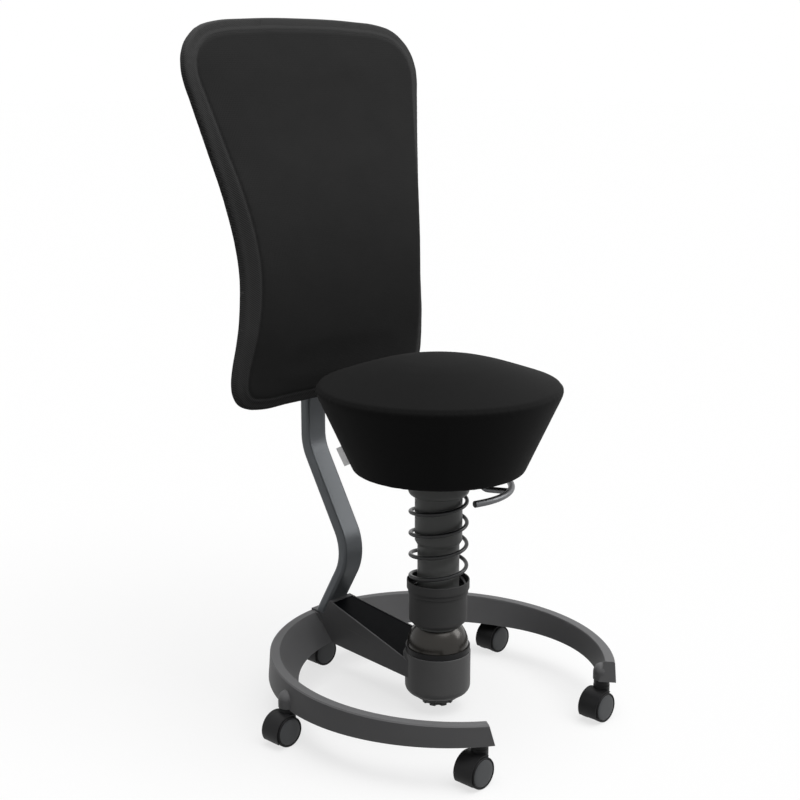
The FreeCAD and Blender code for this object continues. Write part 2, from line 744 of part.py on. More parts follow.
# Release lever: along under the plate, down inside the skirt and out to a curved cross handle.
lever = bent_rod([
    polar(-lever_tip_overrun, lever_angle, lever_arm_z),
    polar(lever_leg_circle, lever_angle, lever_arm_z),
    polar(lever_leg_circle, lever_angle, lever_handle_z),
    polar(lever_handle_circle, lever_angle, lever_handle_z)], lever_bend, lever_radius)
handle_steps = 6
handle_points = []
for step in range(handle_steps + 1):
    turn = lever_handle_tail - step * (lever_handle_tail + lever_handle_sweep) / handle_steps
    handle_points.append(polar(lever_handle_circle, lever_angle + turn, lever_handle_z))
lever = fuse(lever, bent_rod(handle_points, lever_handle_circle, lever_handle_radius))
radial = polar(1.0, lever_angle)
tangent = polar(1.0, lever_angle + 90)
pivot_centre = radial * lever_pivot_circle + up * lever_arm_z
ear_from = lever_radius + lever_ear_gap
ear_to = ear_from + lever_ear
trunnion = Part.makeCylinder(lever_pivot_radius, 2 * ear_to, pivot_centre - tangent * ear_to, tangent)
save("release_lever", fuse(lever, trunnion))

# Seat hub and plate
# The hub is slotted on the lever's side; the two ears of the lever stand under the plate.
hub_low_z = plate_z - hub_height
slot_half = lever_radius + lever_slot_gap
lever_slot = block(0, 2 * hub_radius, -slot_half, slot_half, gas_cylinder_top_z, plate_z)
lever_slot.rotate(Vec(0, 0, 0), up, lever_angle)
seat_hub = cut(disc(hub_radius, hub_low_z, plate_z), disc(gas_cylinder_radius, hub_low_z, plate_z), lever_slot)
save("seat_hub", seat_hub)

seat_plate = disc(plate_radius, plate_z, plate_z + plate_thickness)
ear_half = lever_ear_length / 2
for side in (-1, 1):
    low_y = min(side * ear_from, side * ear_to)
    ear = block(lever_pivot_circle - ear_half, lever_pivot_circle + ear_half, low_y, low_y + lever_ear,
                plate_z - lever_ear_drop, plate_z)
    ear.rotate(Vec(0, 0, 0), up, lever_angle)
    seat_plate = fuse(seat_plate, ear)
trunnion_bore = Part.makeCylinder(lever_pivot_radius + running_fit, 2 * ear_to,
                                  pivot_centre - tangent * ear_to, tangent)
seat_plate = cut(seat_plate, trunnion_bore)
plate_top_z = plate_z + plate_thickness
plate_screw_places = []
for index in range(plate_screw_count):
    plate_screw_places.append(polar(plate_screw_circle, 30 + index * full_turn / plate_screw_count))
for spot in plate_screw_places:
    seat_plate = cut(seat_plate, disc(plate_screw_diameter / 2, plate_z, plate_top_z, spot.x, spot.y))
save("seat_plate", seat_plate)

board_top_z = plate_top_z + seat_board_thickness
seat_board = disc(board_radius, plate_top_z, board_top_z)
plate_screws = []
for spot in plate_screw_places:
    tip_z = plate_top_z + plate_screw_depth
    seat_board = cut(seat_board, disc(plate_screw_diameter / 2, plate_top_z, tip_z, spot.x, spot.y))
    shank = disc(plate_screw_diameter / 2, plate_z, tip_z, spot.x, spot.y)
    head = disc(plate_screw_head_diameter / 2, plate_z - plate_screw_head_height, plate_z, spot.x, spot.y)
    plate_screws.append(fuse(shank, head))
save("seat_board", seat_board)
save("plate_screws", *plate_screws)

# Cushion and skirt: a shallow dome with a round rim, and a hollow cone that hangs below it.
dome_edge_r = seat_radius - seat_rim_inset
dome_edge_z = seat_rim_z + seat_rim_rise
cushion_low_z = board_top_z + seat_gap
dome_mid_r = dome_edge_r / 2
dome_drop = seat_top_z - dome_edge_z
dome_mid_z = seat_top_z - dome_drop / 4
dome = Part.Arc(Vec(0, 0, seat_top_z), Vec(dome_mid_r, 0, dome_mid_z), Vec(dome_edge_r, 0, dome_edge_z))
rim_mid = Vec(seat_radius - seat_rim_inset / 4, 0, (dome_edge_z + cushion_low_z) / 2 + seat_gap)
rim = Part.Arc(Vec(dome_edge_r, 0, dome_edge_z), rim_mid, Vec(seat_radius, 0, cushion_low_z))
base_line = Part.makeLine(Vec(seat_radius, 0, cushion_low_z), Vec(0, 0, cushion_low_z))
axis_line = Part.makeLine(Vec(0, 0, cushion_low_z), Vec(0, 0, seat_top_z))
cushion_wire = Part.Wire([dome.toShape(), rim.toShape(), base_line, axis_line])
save("seat_cushion", whole(Part.Face(cushion_wire).revolve(Vec(0, 0, 0), up, full_turn)))

skirt_top_z = board_top_z
skirt_turn_z = skirt_bottom_z + skirt_edge
skirt_shoulder_z = plate_z
skirt = turned([
    (board_radius + seat_gap, skirt_top_z), (seat_radius, skirt_top_z), (seat_radius, skirt_brim_z),
    (skirt_bottom_radius, skirt_turn_z), (skirt_bottom_radius - skirt_edge, skirt_bottom_z),
    (skirt_bottom_radius - skirt_wall, skirt_bottom_z), (skirt_bottom_radius - skirt_wall, skirt_turn_z),
    (board_radius + seat_gap, skirt_shoulder_z)])
save("seat_skirt", skirt)

# Bare label sewn into the skirt's seam, standing square out from it.
skirt_slope = (seat_radius - skirt_bottom_radius) / (skirt_brim_z - skirt_turn_z)
tag_along = Vec(skirt_slope, 0, 1).normalize()
tag_out = Vec(1, 0, -skirt_slope).normalize()
tag_root_r = skirt_bottom_radius + (tag_z - skirt_turn_z) * skirt_slope
tag_corner = Vec(tag_root_r, -tag_thickness / 2, tag_z) + tag_out * seat_gap
tag_wire = Part.makePolygon([
    tag_corner, tag_corner + tag_out * tag_width,
    tag_corner + tag_out * tag_width + tag_along * tag_length,
    tag_corner + tag_along * tag_length, tag_corner])
seat_tag = Part.Face(tag_wire).extrude(Vec(0, tag_thickness, 0))
seat_tag.rotate(Vec(0, 0, 0), up, tag_angle)
save("seat_tag", seat_tag)

# Arm
# A tapered beam from the seam on the ring's root to the wall of the housing.
def arm_top_z(y):
    return ring_top_z - (root_top_y - y) * arm_top_drop / (root_top_y - arm_hub_y)


def arm_bottom_z(y):
    return arm_bottom_root_z + (arm_root_y - y) * (arm_bottom_hub_z - arm_bottom_root_z) / (arm_root_y - arm_hub_y)


root_foot_y = arm_root_y - (root_low_z - arm_bottom_z(arm_root_y)) * seam_slope
arm_side = side_prism([
    (arm_end_y, arm_bottom_z(arm_end_y)), (root_foot_y, arm_bottom_z(root_foot_y)),
    (root_top_y, ring_top_z), (arm_end_y, arm_top_z(arm_end_y))], arm_hub_width)
arm = whole(arm_side.common(arm_plan(0, arm_end_y, root_top_y, 0, 2 * ring_top_z)))
housing_wall_cut = disc(housing_radius, 0, 2 * pivot_z)
bolt_radius = bracket_bolt_diameter / 2
bracket_bolts = []
bracket_holes = []
for bolt_y in bracket_bolt_places:
    head_low_z = arm_bottom_z(bolt_y)
    head_high_z = head_low_z + bracket_bolt_head_height
    tip_z = arm_top_z(bolt_y) + bracket_bolt_reach
    arm = cut(arm, disc(bracket_bolt_head_diameter / 2 + screw_fit, 0, head_high_z, 0, bolt_y),
              disc(bolt_radius + screw_fit, head_high_z, tip_z, 0, bolt_y))
    bracket_holes.append(disc(bolt_radius, head_high_z, tip_z, 0, bolt_y))
    head = disc(bracket_bolt_head_diameter / 2, head_low_z + screw_fit, head_high_z, 0, bolt_y)
    bracket_bolts.append(fuse(head, disc(bolt_radius, head_high_z, tip_z, 0, bolt_y)))
save("base_arm", cut(arm, housing_wall_cut))
save("bracket_bolts", *bracket_bolts)

# Stem
# Its centre line has three straight legs; the lower leg stands on the bracket's tongue.
tongue_top_z = ring_top_z + tongue_thickness
lower_tan = math.tan(math.radians(stem_lower_lean))
foot_front_y = stem_lower_bend_y + (stem_lower_bend_z - tongue_top_z) * lower_tan
foot_spare = 2 * stem_depth
foot_far_y = foot_front_y + foot_spare * lower_tan
front_line = [
    Vec(0, stem_front_y, stem_top_z), Vec(0, stem_front_y, stem_upper_bend_z),
    Vec(0, stem_lower_bend_y, stem_lower_bend_z), Vec(0, foot_far_y, tongue_top_z - foot_spare)]


def stem_line(offset):
    # The line moved back from the front face by the offset, leg by leg.
    normals = []
    for start, end in zip(front_line, front_line[1:]):
        along = (end - start).normalize()
        normals.append(Vec(0, -along.z, along.y))
    points = [front_line[0] + normals[0] * offset]
    for corner, first, second in zip(front_line[1:], normals, normals[1:]):
        between = (first + second).normalize()
        points.append(corner + between * (offset / between.dot(first)))
    points.append(front_line[-1] + normals[-1] * offset)
    return points


def stem_side(offset, bend_offset):
    # One long face of the stem: straight runs and the bends between them.
    points = stem_line(offset)
    edges = []
    start = points[0]
    for before, corner, after in zip(points, points[1:], points[2:]):
        into = (before - corner).normalize()
        out = (after - corner).normalize()
        half_angle = into.getAngle(out) / 2
        turns_back = (into + out).y > 0
        bend = stem_bend_radius + (bend_offset if turns_back else -bend_offset)
        setback = bend / math.tan(half_angle)
        middle_way = (into + out).normalize()
        first = corner + into * setback
        last = corner + out * setback
        middle = corner + middle_way * (bend / math.sin(half_angle) - bend)
        edges.append(Part.makeLine(start, first))
        edges.append(Part.Arc(first, middle, last).toShape())
        start = last
    edges.append(Part.makeLine(start, points[-1]))
    return edges, points[0], points[-1]


def stem_slab(inset, half_width):
    front_edges, front_top, front_foot = stem_side(inset, stem_depth / 2 - inset)
    rear_edges, rear_top, rear_foot = stem_side(stem_depth - inset, inset - stem_depth / 2)
    loop = front_edges + [Part.makeLine(front_foot, rear_foot)] + rear_edges
    loop.append(Part.makeLine(rear_top, front_top))
    face = Part.Face(Part.Wire(Part.sortEdges(loop)[0]))
    slab = face.extrude(Vec(2 * half_width, 0, 0))
    slab.translate(Vec(-half_width, 0, 0))
    return slab


def runs_along(half_width):
    def is_wanted(edge):
        box = edge.BoundBox
        return box.XLength < 0.01 and abs(abs(edge.CenterOfMass.x) - half_width) < 0.01 and box.ZLength > 1
    return is_wanted


far_x = 2 * stem_width
stem_floor = block(-far_x, far_x, 0, 2 * stem_front_y, -far_x, tongue_top_z)
stem_solid = stem_slab(0.0, stem_width / 2)
stem_solid = rounded(stem_solid, stem_edge, runs_along(stem_width / 2))
stem_core = stem_slab(stem_wall, stem_width / 2 - stem_wall)
stem_solid = cut(stem_solid, stem_floor)
stem_core = cut(stem_core, stem_floor)
stem = cut(stem_solid, stem_core)
stem_rear_y = stem_front_y + stem_depth
screw_radius = stem_screw_diameter / 2
for height in stem_screw_heights:
    hole = Part.makeCylinder(screw_radius + screw_fit, stem_depth, Vec(0, stem_front_y, height), Vec(0, 1, 0))
    stem = cut(stem, hole)
save("back_stem", stem)

plug_half_x = stem_width / 2 - stem_wall - screw_fit
plug = block(-plug_half_x, plug_half_x, stem_front_y + stem_wall + screw_fit, stem_rear_y - stem_wall - screw_fit,
             stem_top_z - stem_cap_plug, stem_top_z)
cap = block(-stem_width / 2, stem_width / 2, stem_front_y, stem_rear_y, stem_top_z, stem_top_z + stem_cap_thickness)
cap = rounded(cap, stem_edge, lambda edge: edge.BoundBox.ZLength > stem_cap_thickness / 2)
save("stem_cap", fuse(plug, cap))

# Backrest bracket
# Wedge on the arm, closed against the stem's front face, with a tongue laid over the ring.
wedge_front_y = arm_end_y


def wedge_top_z(y):
    foot_y = arm_root_y
    rise = bracket_hub_rise + (y - arm_hub_y) * (bracket_rise - bracket_hub_rise) / (foot_y - arm_hub_y)
    return arm_top_z(y) + rise


wedge_spare = 3 * stem_depth
wedge = side_prism([
    (wedge_front_y, arm_top_z(wedge_front_y)), (root_top_y, ring_top_z),
    (root_top_y, wedge_top_z(root_top_y)), (wedge_front_y, wedge_top_z(wedge_front_y))], arm_hub_width)
wedge = whole(wedge.common(arm_plan(0, wedge_front_y, root_top_y, 0, 2 * pivot_z)))
tongue = block(-tongue_width / 2, tongue_width / 2, root_top_y - ring_wall, ring_back_y - ring_edge,
               ring_top_z, tongue_top_z)
behind_stem = stem_slab(0.0, arm_hub_width)
behind_stem = cut(behind_stem, block(-arm_hub_width, arm_hub_width, 0, 2 * stem_front_y, -far_x, tongue_top_z))
stem_shadow = behind_stem.copy()
stem_shadow.translate(Vec(0, stem_depth * 0.9, 0))
bracket = cut(wedge, behind_stem, stem_shadow)
bracket = max(bracket.Solids, key=lambda solid: solid.Volume)
bracket = fuse(bracket, tongue)
pocket_front_y = wedge_front_y
pocket_back_y = foot_front_y - (wedge_top_z(foot_front_y) - tongue_top_z) * lower_tan - 2 * bracket_lip
panel_depth = panel_recess + panel_thickness


def pocket(inset, drop, roof):
    side = side_prism([
        (pocket_front_y, wedge_top_z(pocket_front_y) - drop), (pocket_back_y - inset, wedge_top_z(pocket_back_y) - drop),
        (pocket_back_y - inset, wedge_top_z(pocket_back_y) - roof), (pocket_front_y, wedge_top_z(pocket_front_y) - roof)],
        arm_hub_width)
    plan = arm_plan(bracket_lip + inset, pocket_front_y, pocket_back_y, 0, 2 * pivot_z)
    return cut(side.common(plan), disc(housing_radius + bracket_lip + inset, 0, 2 * pivot_z))


bracket = cut(bracket, pocket(0.0, panel_depth, -panel_depth), housing_wall_cut, *bracket_holes)
save("back_bracket", bracket)
save("bracket_panel", pocket(panel_gap, panel_depth, panel_recess))

# Backrest
# Level sections lofted upwards, trimmed by the outline seen from the front.
def back_loft(section):
    wires = []
    for z, width, front, widest, rear in back_stations:
        outline = section(width / 2, front, widest, rear)
        points = [Vec(x, y, z) for x, y in outline]
        mirrored = [Vec(-x, y, z) for x, y in reversed(outline)]
        wires.append(Part.makePolygon(points + mirrored + points[:1]))
    return Part.makeLoft(wires, True, False)


def pad_section(half, front, widest, rear):
    rear_y = rear - board_thickness - seat_gap
    return [(half - back_border, front), (half, widest), (half - back_rear_inset, rear_y)]


def board_section(half, front, widest, rear):
    edge = half - back_rear_inset - board_inset
    return [(edge, rear - board_thickness), (edge, rear)]


def back_outline(inset):
    half_low = back_bottom_width / 2 - inset
    half_high = back_top_width / 2 - inset
    low = back_bottom_z + inset
    high = back_top_z - inset
    low_corner = max(back_bottom_corner - inset, back_bottom_corner / 4)
    high_corner = max(back_top_corner - inset, back_top_corner / 4)
    shoulder = high - back_crown
    spread = (half_high - half_low) / (shoulder - low)
    y = 0
    bend = math.sqrt(0.5)

    def side_x(z):
        return half_low + (z - low) * spread

    low_z = low + low_corner
    high_z = shoulder - high_corner
    right_low = Vec(side_x(low_z), y, low_z)
    right_high = Vec(side_x(high_z), y, high_z)
    foot = Vec(side_x(low) - low_corner, y, low)
    top = Vec(side_x(shoulder) - high_corner, y, shoulder)
    low_middle = Vec(foot.x + low_corner * bend, y, low_z - low_corner * bend)
    high_middle = Vec(top.x + high_corner * bend, y, high_z + high_corner * bend)
    flip = lambda p: Vec(-p.x, p.y, p.z)
    edges = [
        Part.makeLine(flip(foot), foot), Part.Arc(foot, low_middle, right_low).toShape(),
        Part.makeLine(right_low, right_high), Part.Arc(right_high, high_middle, top).toShape(),
        Part.Arc(top, Vec(0, y, high), flip(top)).toShape(),
        Part.Arc(flip(top), flip(high_middle), flip(right_high)).toShape(),
        Part.makeLine(flip(right_high), flip(right_low)),
        Part.Arc(flip(right_low), flip(low_middle), flip(foot)).toShape()]
    return Part.Face(Part.Wire(edges)).extrude(Vec(0, 2 * stem_front_y, 0))


save("back_pad", whole(back_loft(pad_section).common(back_outline(0.0))))

board = whole(back_loft(board_section).common(back_outline(back_rear_inset + board_inset)))
stem_seat_x = stem_width / 2 + seat_gap
stem_seat_top_z = stem_top_z + stem_cap_thickness + seat_gap
board = cut(board, block(-stem_seat_x, stem_seat_x, stem_front_y, stem_rear_y, 0, stem_seat_top_z))
stem_screws = []
for height in stem_screw_heights:
    shank_from = stem_front_y - stem_screw_engagement
    thread = Part.makeCylinder(screw_radius, stem_depth, Vec(0, shank_from, height), Vec(0, 1, 0))
    board = cut(board, thread)
    shank_length = stem_rear_y - shank_from
    shank = Part.makeCylinder(screw_radius, shank_length, Vec(0, shank_from, height), Vec(0, 1, 0))
    head = Part.makeCylinder(stem_screw_head_diameter / 2, stem_screw_head_height,
                             Vec(0, stem_rear_y, height), Vec(0, 1, 0))
    stem_screws.append(fuse(shank, head))
save("back_board", board)
save("stem_screws", *stem_screws)
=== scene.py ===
import json
import math

import bmesh
import bpy
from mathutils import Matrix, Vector
from mathutils.bvhtree import BVHTree
from mathutils.kdtree import KDTree

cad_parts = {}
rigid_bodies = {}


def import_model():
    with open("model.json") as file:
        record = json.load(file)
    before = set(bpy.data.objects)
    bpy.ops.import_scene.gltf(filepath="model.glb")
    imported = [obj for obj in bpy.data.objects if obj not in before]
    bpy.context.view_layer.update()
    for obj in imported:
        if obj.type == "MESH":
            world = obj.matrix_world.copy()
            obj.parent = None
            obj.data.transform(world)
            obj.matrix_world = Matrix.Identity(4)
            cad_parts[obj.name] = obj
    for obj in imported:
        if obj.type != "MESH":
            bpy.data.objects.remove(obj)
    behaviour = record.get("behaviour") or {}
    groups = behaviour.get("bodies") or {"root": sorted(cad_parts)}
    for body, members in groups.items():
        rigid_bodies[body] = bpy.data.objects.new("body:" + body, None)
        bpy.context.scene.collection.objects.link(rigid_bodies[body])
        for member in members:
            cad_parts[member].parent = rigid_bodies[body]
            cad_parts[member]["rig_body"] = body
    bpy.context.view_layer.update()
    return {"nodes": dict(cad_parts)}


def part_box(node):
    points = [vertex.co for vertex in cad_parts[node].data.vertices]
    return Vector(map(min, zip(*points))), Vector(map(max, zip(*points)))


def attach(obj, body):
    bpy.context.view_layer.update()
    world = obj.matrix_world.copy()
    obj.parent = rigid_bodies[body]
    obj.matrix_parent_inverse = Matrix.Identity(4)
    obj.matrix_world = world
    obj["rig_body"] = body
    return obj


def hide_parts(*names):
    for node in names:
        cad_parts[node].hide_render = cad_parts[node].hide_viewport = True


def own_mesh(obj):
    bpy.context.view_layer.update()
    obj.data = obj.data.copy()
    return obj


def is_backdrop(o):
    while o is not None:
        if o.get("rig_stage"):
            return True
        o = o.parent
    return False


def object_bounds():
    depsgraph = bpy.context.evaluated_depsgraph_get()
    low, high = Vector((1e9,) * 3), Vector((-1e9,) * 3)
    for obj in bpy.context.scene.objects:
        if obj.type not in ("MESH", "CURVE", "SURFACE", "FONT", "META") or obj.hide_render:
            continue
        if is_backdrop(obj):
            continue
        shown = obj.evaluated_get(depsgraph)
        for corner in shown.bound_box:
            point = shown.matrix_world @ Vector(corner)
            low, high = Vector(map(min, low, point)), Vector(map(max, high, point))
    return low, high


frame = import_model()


# Base ring: a C-shaped aluminium casting, open to the front for the sitter's feet.
# It is blasted and powder coated in anthracite, so its edges are a little round. The five
# caster bosses are cast with it, and the block at the back takes the arm.
def linear(code):
    """An sRGB hex colour as linear RGBA."""
    channels = [int(code[k:k + 2], 16) / 255 for k in (1, 3, 5)]
    return [c / 12.92 if c <= 0.04045 else ((c + 0.055) / 1.055) ** 2.4 for c in channels] + [1.0]


def add(tree, kind, settings={}, links={}):
    """A shader node with its settings, and with its inputs linked."""
    node = tree.nodes.new("ShaderNode" + kind)
    for key, value in settings.items():
        if isinstance(key, int) or key in node.inputs:
            node.inputs[key].default_value = value
        else:
            setattr(node, key, value)
    for key, socket in links.items():
        tree.links.new(socket, node.inputs[key])
    return node


def begin(name):
    """A new material, its tree and shader, and the piece's own coordinates."""
    material = bpy.data.materials.new(name)
    material.use_nodes = True
    tree = material.node_tree
    return material, tree, tree.nodes["Principled BSDF"], add(tree, "TexCoord").outputs["Object"]


def set_piece(name, bm, materials, body, crease=40, nodes=()):
    """An object from a bmesh, shaded smooth up to the crease angle, riding on its body."""
    mesh = bpy.data.meshes.new(name)
    bm.to_mesh(mesh)
    bm.free()
    for material in materials:
        mesh.materials.append(material)
    mesh.shade_smooth()
    mesh.set_sharp_from_angle(angle=math.radians(crease))
    piece = bpy.data.objects.new(name, mesh)
    bpy.context.scene.collection.objects.link(piece)
    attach(piece, body)
    if nodes:
        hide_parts(*nodes)
    return piece


def merged_copy(node):
    """A copy of a CAD node's mesh with its loose triangles joined, and the body it rides on."""
    source = frame["nodes"][node]
    bm = bmesh.new()
    bm.from_mesh(source.data)
    bmesh.ops.remove_doubles(bm, verts=bm.verts, dist=0.00001)
    for face in bm.faces:
        face.material_index = 0
    return bm, source["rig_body"]


def soft_edged(name, node, material, width, steps=3, crease=35, trim=None):
    """A copy of a CAD node, trimmed where asked and with its sharp edges rounded, in its place."""
    bm, body = merged_copy(node)
    bmesh.ops.dissolve_limit(bm, verts=bm.verts, edges=bm.edges, angle_limit=math.radians(0.5))
    if trim:
        trim(bm)
    sharp = [e for e in bm.edges if e.is_manifold and e.calc_face_angle() > math.radians(crease)]
    bmesh.ops.bevel(bm, geom=sharp, offset=width, affect="EDGES", segments=steps, profile=0.5,
                    material=-1, clamp_overlap=True)
    piece = set_piece(name, bm, [material], body, 50, [node])
    piece.modifiers.new("even_shading", "WEIGHTED_NORMAL").keep_sharp = True
    return piece


def dress(material, *nodes):
    """Gives CAD nodes that stay in view their finish."""
    for node in nodes:
        mesh = frame["nodes"][node].data
        mesh.materials.clear()
        mesh.materials.append(material)


# Powder-coated aluminium: a satin mid grey with a faint cloud and the orange peel of cured
# powder. The real peel is about 1 mm, and it is drawn at 2.5 mm so that it shows.
powder_coat, tree, shader, place = begin("powder_coated_aluminium")
peel = add(tree, "TexNoise", {"Scale": 1 / 0.0025, "Detail": 2.0}, {"Vector": place})
cloud = add(tree, "TexNoise", {"Scale": 1 / 0.07, "Detail": 3.0}, {"Vector": place})
tone = add(tree, "Mix", {"data_type": "RGBA", 6: linear("#6e6e6f"), 7: linear("#767677")},
           {0: cloud.outputs["Fac"]})
skin = add(tree, "Bump", {"Strength": 0.12, "Distance": 0.0004}, {"Height": peel.outputs["Fac"]})
tree.links.new(tone.outputs[2], shader.inputs["Base Color"])
tree.links.new(skin.outputs["Normal"], shader.inputs["Normal"])
shader.inputs["Roughness"].default_value = 0.5
shader.inputs["Specular IOR Level"].default_value = 0.12
soft_edged("ring_casting", "base_ring", powder_coat, 0.0018)


# Caster sockets: plain turned sleeves of natural black nylon, pressed into the bosses.
# Only their lower rims show, and the caster stems click into them.
# Nylon: a dull black with a slight waxy sheen and a fine moulded grain of about 1 mm.
nylon, tree, shader, place = begin("moulded_black_nylon")
grain = add(tree, "TexNoise", {"Scale": 1 / 0.0012, "Detail": 2.0}, {"Vector": place})
cloud = add(tree, "TexNoise", {"Scale": 1 / 0.03, "Detail": 2.0}, {"Vector": place})
tone = add(tree, "Mix", {"data_type": "RGBA", 6: linear("#1b1b1c"), 7: linear("#212122")},
           {0: cloud.outputs["Fac"]})
skin = add(tree, "Bump", {"Strength": 0.15, "Distance": 0.0002}, {"Height": grain.outputs["Fac"]})
tree.links.new(tone.outputs[2], shader.inputs["Base Color"])
tree.links.new(skin.outputs["Normal"], shader.inputs["Normal"])
shader.inputs["Roughness"].default_value = 0.45
shader.inputs["Specular IOR Level"].default_value = 0.18
dress(nylon, "caster_sockets")


# Casters: twin wheels under a moulded nylon hood, with a plain steel stem and axle.
# The hoods are one moulding each, from the web between the wheels to the neck of the stem.
caster_names = ["back", "left", "front_left", "front_right", "right"]
for caster in caster_names:
    soft_edged(f"caster_{caster}_hood", f"caster_{caster}_body", nylon, 0.0009)

# Zinc-plated steel: a bright grey with the fine turning lines of bar stock, about 0.4 mm apart.
zinc, tree, shader, place = begin("zinc_plated_steel")
lines = add(tree, "TexNoise", {"Scale": 1 / 0.002, "Detail": 4.0}, {"Vector": place})
gloss = add(tree, "MapRange", {"To Min": 0.28, "To Max": 0.45}, {"Value": lines.outputs["Fac"]})
tree.links.new(gloss.outputs["Result"], shader.inputs["Roughness"])
shader.inputs["Base Color"].default_value = linear("#a9abae")
shader.inputs["Metallic"].default_value = 1.0
dress(zinc, *[f"caster_{caster}_pins" for caster in caster_names])

# Wheels: a nylon wheel with a soft grey-black tread and a snapped-in convex cap of grey ABS.
# Each is turned about its axle from one section, and the cap lies in a shallow groove.
# Polyurethane tread: a soft matt black, a little scuffed round the running face.
tread_rubber, tree, shader, place = begin("polyurethane_tread")
scuff = add(tree, "TexNoise", {"Scale": 1 / 0.004, "Detail": 5.0}, {"Vector": place})
tone = add(tree, "Mix", {"data_type": "RGBA", 6: linear("#161617"), 7: linear("#222223")},
           {0: scuff.outputs["Fac"]})
tree.links.new(tone.outputs[2], shader.inputs["Base Color"])
shader.inputs["Roughness"].default_value = 0.55
shader.inputs["Specular IOR Level"].default_value = 0.15

# Moulded ABS: a satin slate grey with a very fine spark-eroded grain, drawn at 1.5 mm.
cap_plastic, tree, shader, place = begin("moulded_grey_abs")
grain = add(tree, "TexNoise", {"Scale": 1 / 0.0015, "Detail": 2.0}, {"Vector": place})
skin = add(tree, "Bump", {"Strength": 0.12, "Distance": 0.0002}, {"Height": grain.outputs["Fac"]})
tree.links.new(skin.outputs["Normal"], shader.inputs["Normal"])
shader.inputs["Base Color"].default_value = linear("#505254")
shader.inputs["Roughness"].default_value = 0.42
shader.inputs["Specular IOR Level"].default_value = 0.35


def turn(bm, section, centre, axis, across, steps=64):
    """Turns a section of radius and height points about an axis through the centre."""
    axis = Vector(axis)
    across = Vector(across)
    ring = [bm.verts.new(Vector(centre) + across * r + axis * h) for r, h in section]
    edges = [bm.edges.new(pair) for pair in zip(ring, ring[1:])]
    bmesh.ops.spin(bm, geom=ring + edges, cent=centre, axis=axis, angle=2 * math.pi, steps=steps,
                   use_merge=True)
    bmesh.ops.remove_doubles(bm, verts=bm.verts, dist=0.00001)
    bmesh.ops.recalc_face_normals(bm, faces=bm.faces)


cap_radius = 0.0216
wheel_section = [
    (0.0, 0.0030), (0.0170, 0.0030), (0.0182, 0.0006), (0.0200, 0.0001), (0.0228, 0.0001),
    (0.0240, 0.0007), (0.0248, 0.0020), (0.0250, 0.0040), (0.0250, 0.0092), (0.0248, 0.0108),
    (0.0243, 0.0119), (0.0236, 0.0125), (0.0229, 0.0126), (0.0221, 0.0122), (0.0218, 0.0113),
    (cap_radius, 0.0113), (0.0213, 0.0118), (0.0204, 0.0121), (0.0190, 0.0125), (0.0140, 0.0127),
    (0.0085, 0.0128), (0.0, 0.0129)]
for caster in caster_names:
    for side, outward in (("near", -1), ("far", 1)):
        node = f"caster_{caster}_wheel_{side}"
        low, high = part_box(node)
        inner_y = high.y if outward < 0 else low.y
        hub = Vector(((low.x + high.x) / 2, inner_y, (low.z + high.z) / 2))
        bm = bmesh.new()
        turn(bm, wheel_section, hub, (0, outward, 0), (1, 0, 0))
        for face in bm.faces:
            middle = face.calc_center_median() - hub
            reach = math.hypot(middle.x, middle.z)
            face.material_index = 1 if reach < cap_radius and abs(middle.y) > 0.011 else 0
        set_piece(f"caster_{caster}_tyre_{side}", bm, [tread_rubber, cap_plastic], node,
                  50, [node])


# Arm and bracket: a tapered aluminium arm bolted to the ring's root block, and on it the wedge
# that takes the backrest's stem. Both are cast and powder coated like the ring.
# The bolts go in from below.
soft_edged("arm_casting", "base_arm", powder_coat, 0.0018)
soft_edged("bracket_casting", "back_bracket", powder_coat, 0.0015)
dress(zinc, "bracket_bolts")

# Bracket panel: a thin near-black inlay glued into the wedge's pocket.
# Satin acrylic: almost black with a cold tint and a smooth, low gloss.
acrylic, tree, shader, place = begin("satin_black_acrylic")
haze = add(tree, "TexNoise", {"Scale": 1 / 0.015, "Detail": 4.0}, {"Vector": place})
gloss = add(tree, "MapRange", {"To Min": 0.42, "To Max": 0.55}, {"Value": haze.outputs["Fac"]})
tree.links.new(gloss.outputs["Result"], shader.inputs["Roughness"])
shader.inputs["Base Color"].default_value = linear("#08090c")
shader.inputs["Specular IOR Level"].default_value = 0.02
dress(acrylic, "bracket_panel")


# Backrest stem: a flat-oval steel tube bent twice and powder coated, standing on the bracket's
# tongue. A plastic plug closes its top, and two button-head screws hold the rear board.
# Powder-coated steel: as the ring, but a paler and smoother coat with a little metal powder in it.
stem_coat, tree, shader, place = begin("powder_coated_steel")
peel = add(tree, "TexNoise", {"Scale": 1 / 0.0025, "Detail": 2.0}, {"Vector": place})
cloud = add(tree, "TexNoise", {"Scale": 1 / 0.09, "Detail": 3.0}, {"Vector": place})
tone = add(tree, "Mix", {"data_type": "RGBA", 6: linear("#84888c"), 7: linear("#8c9094")},
           {0: cloud.outputs["Fac"]})
skin = add(tree, "Bump", {"Strength": 0.08, "Distance": 0.0003}, {"Height": peel.outputs["Fac"]})
tree.links.new(tone.outputs[2], shader.inputs["Base Color"])
tree.links.new(skin.outputs["Normal"], shader.inputs["Normal"])
shader.inputs["Metallic"].default_value = 0.1
shader.inputs["Roughness"].default_value = 0.36
shader.inputs["Specular IOR Level"].default_value = 0.15
dress(stem_coat, "back_stem")
soft_edged("stem_plug", "stem_cap", nylon, 0.001)
dress(zinc, "stem_screws")


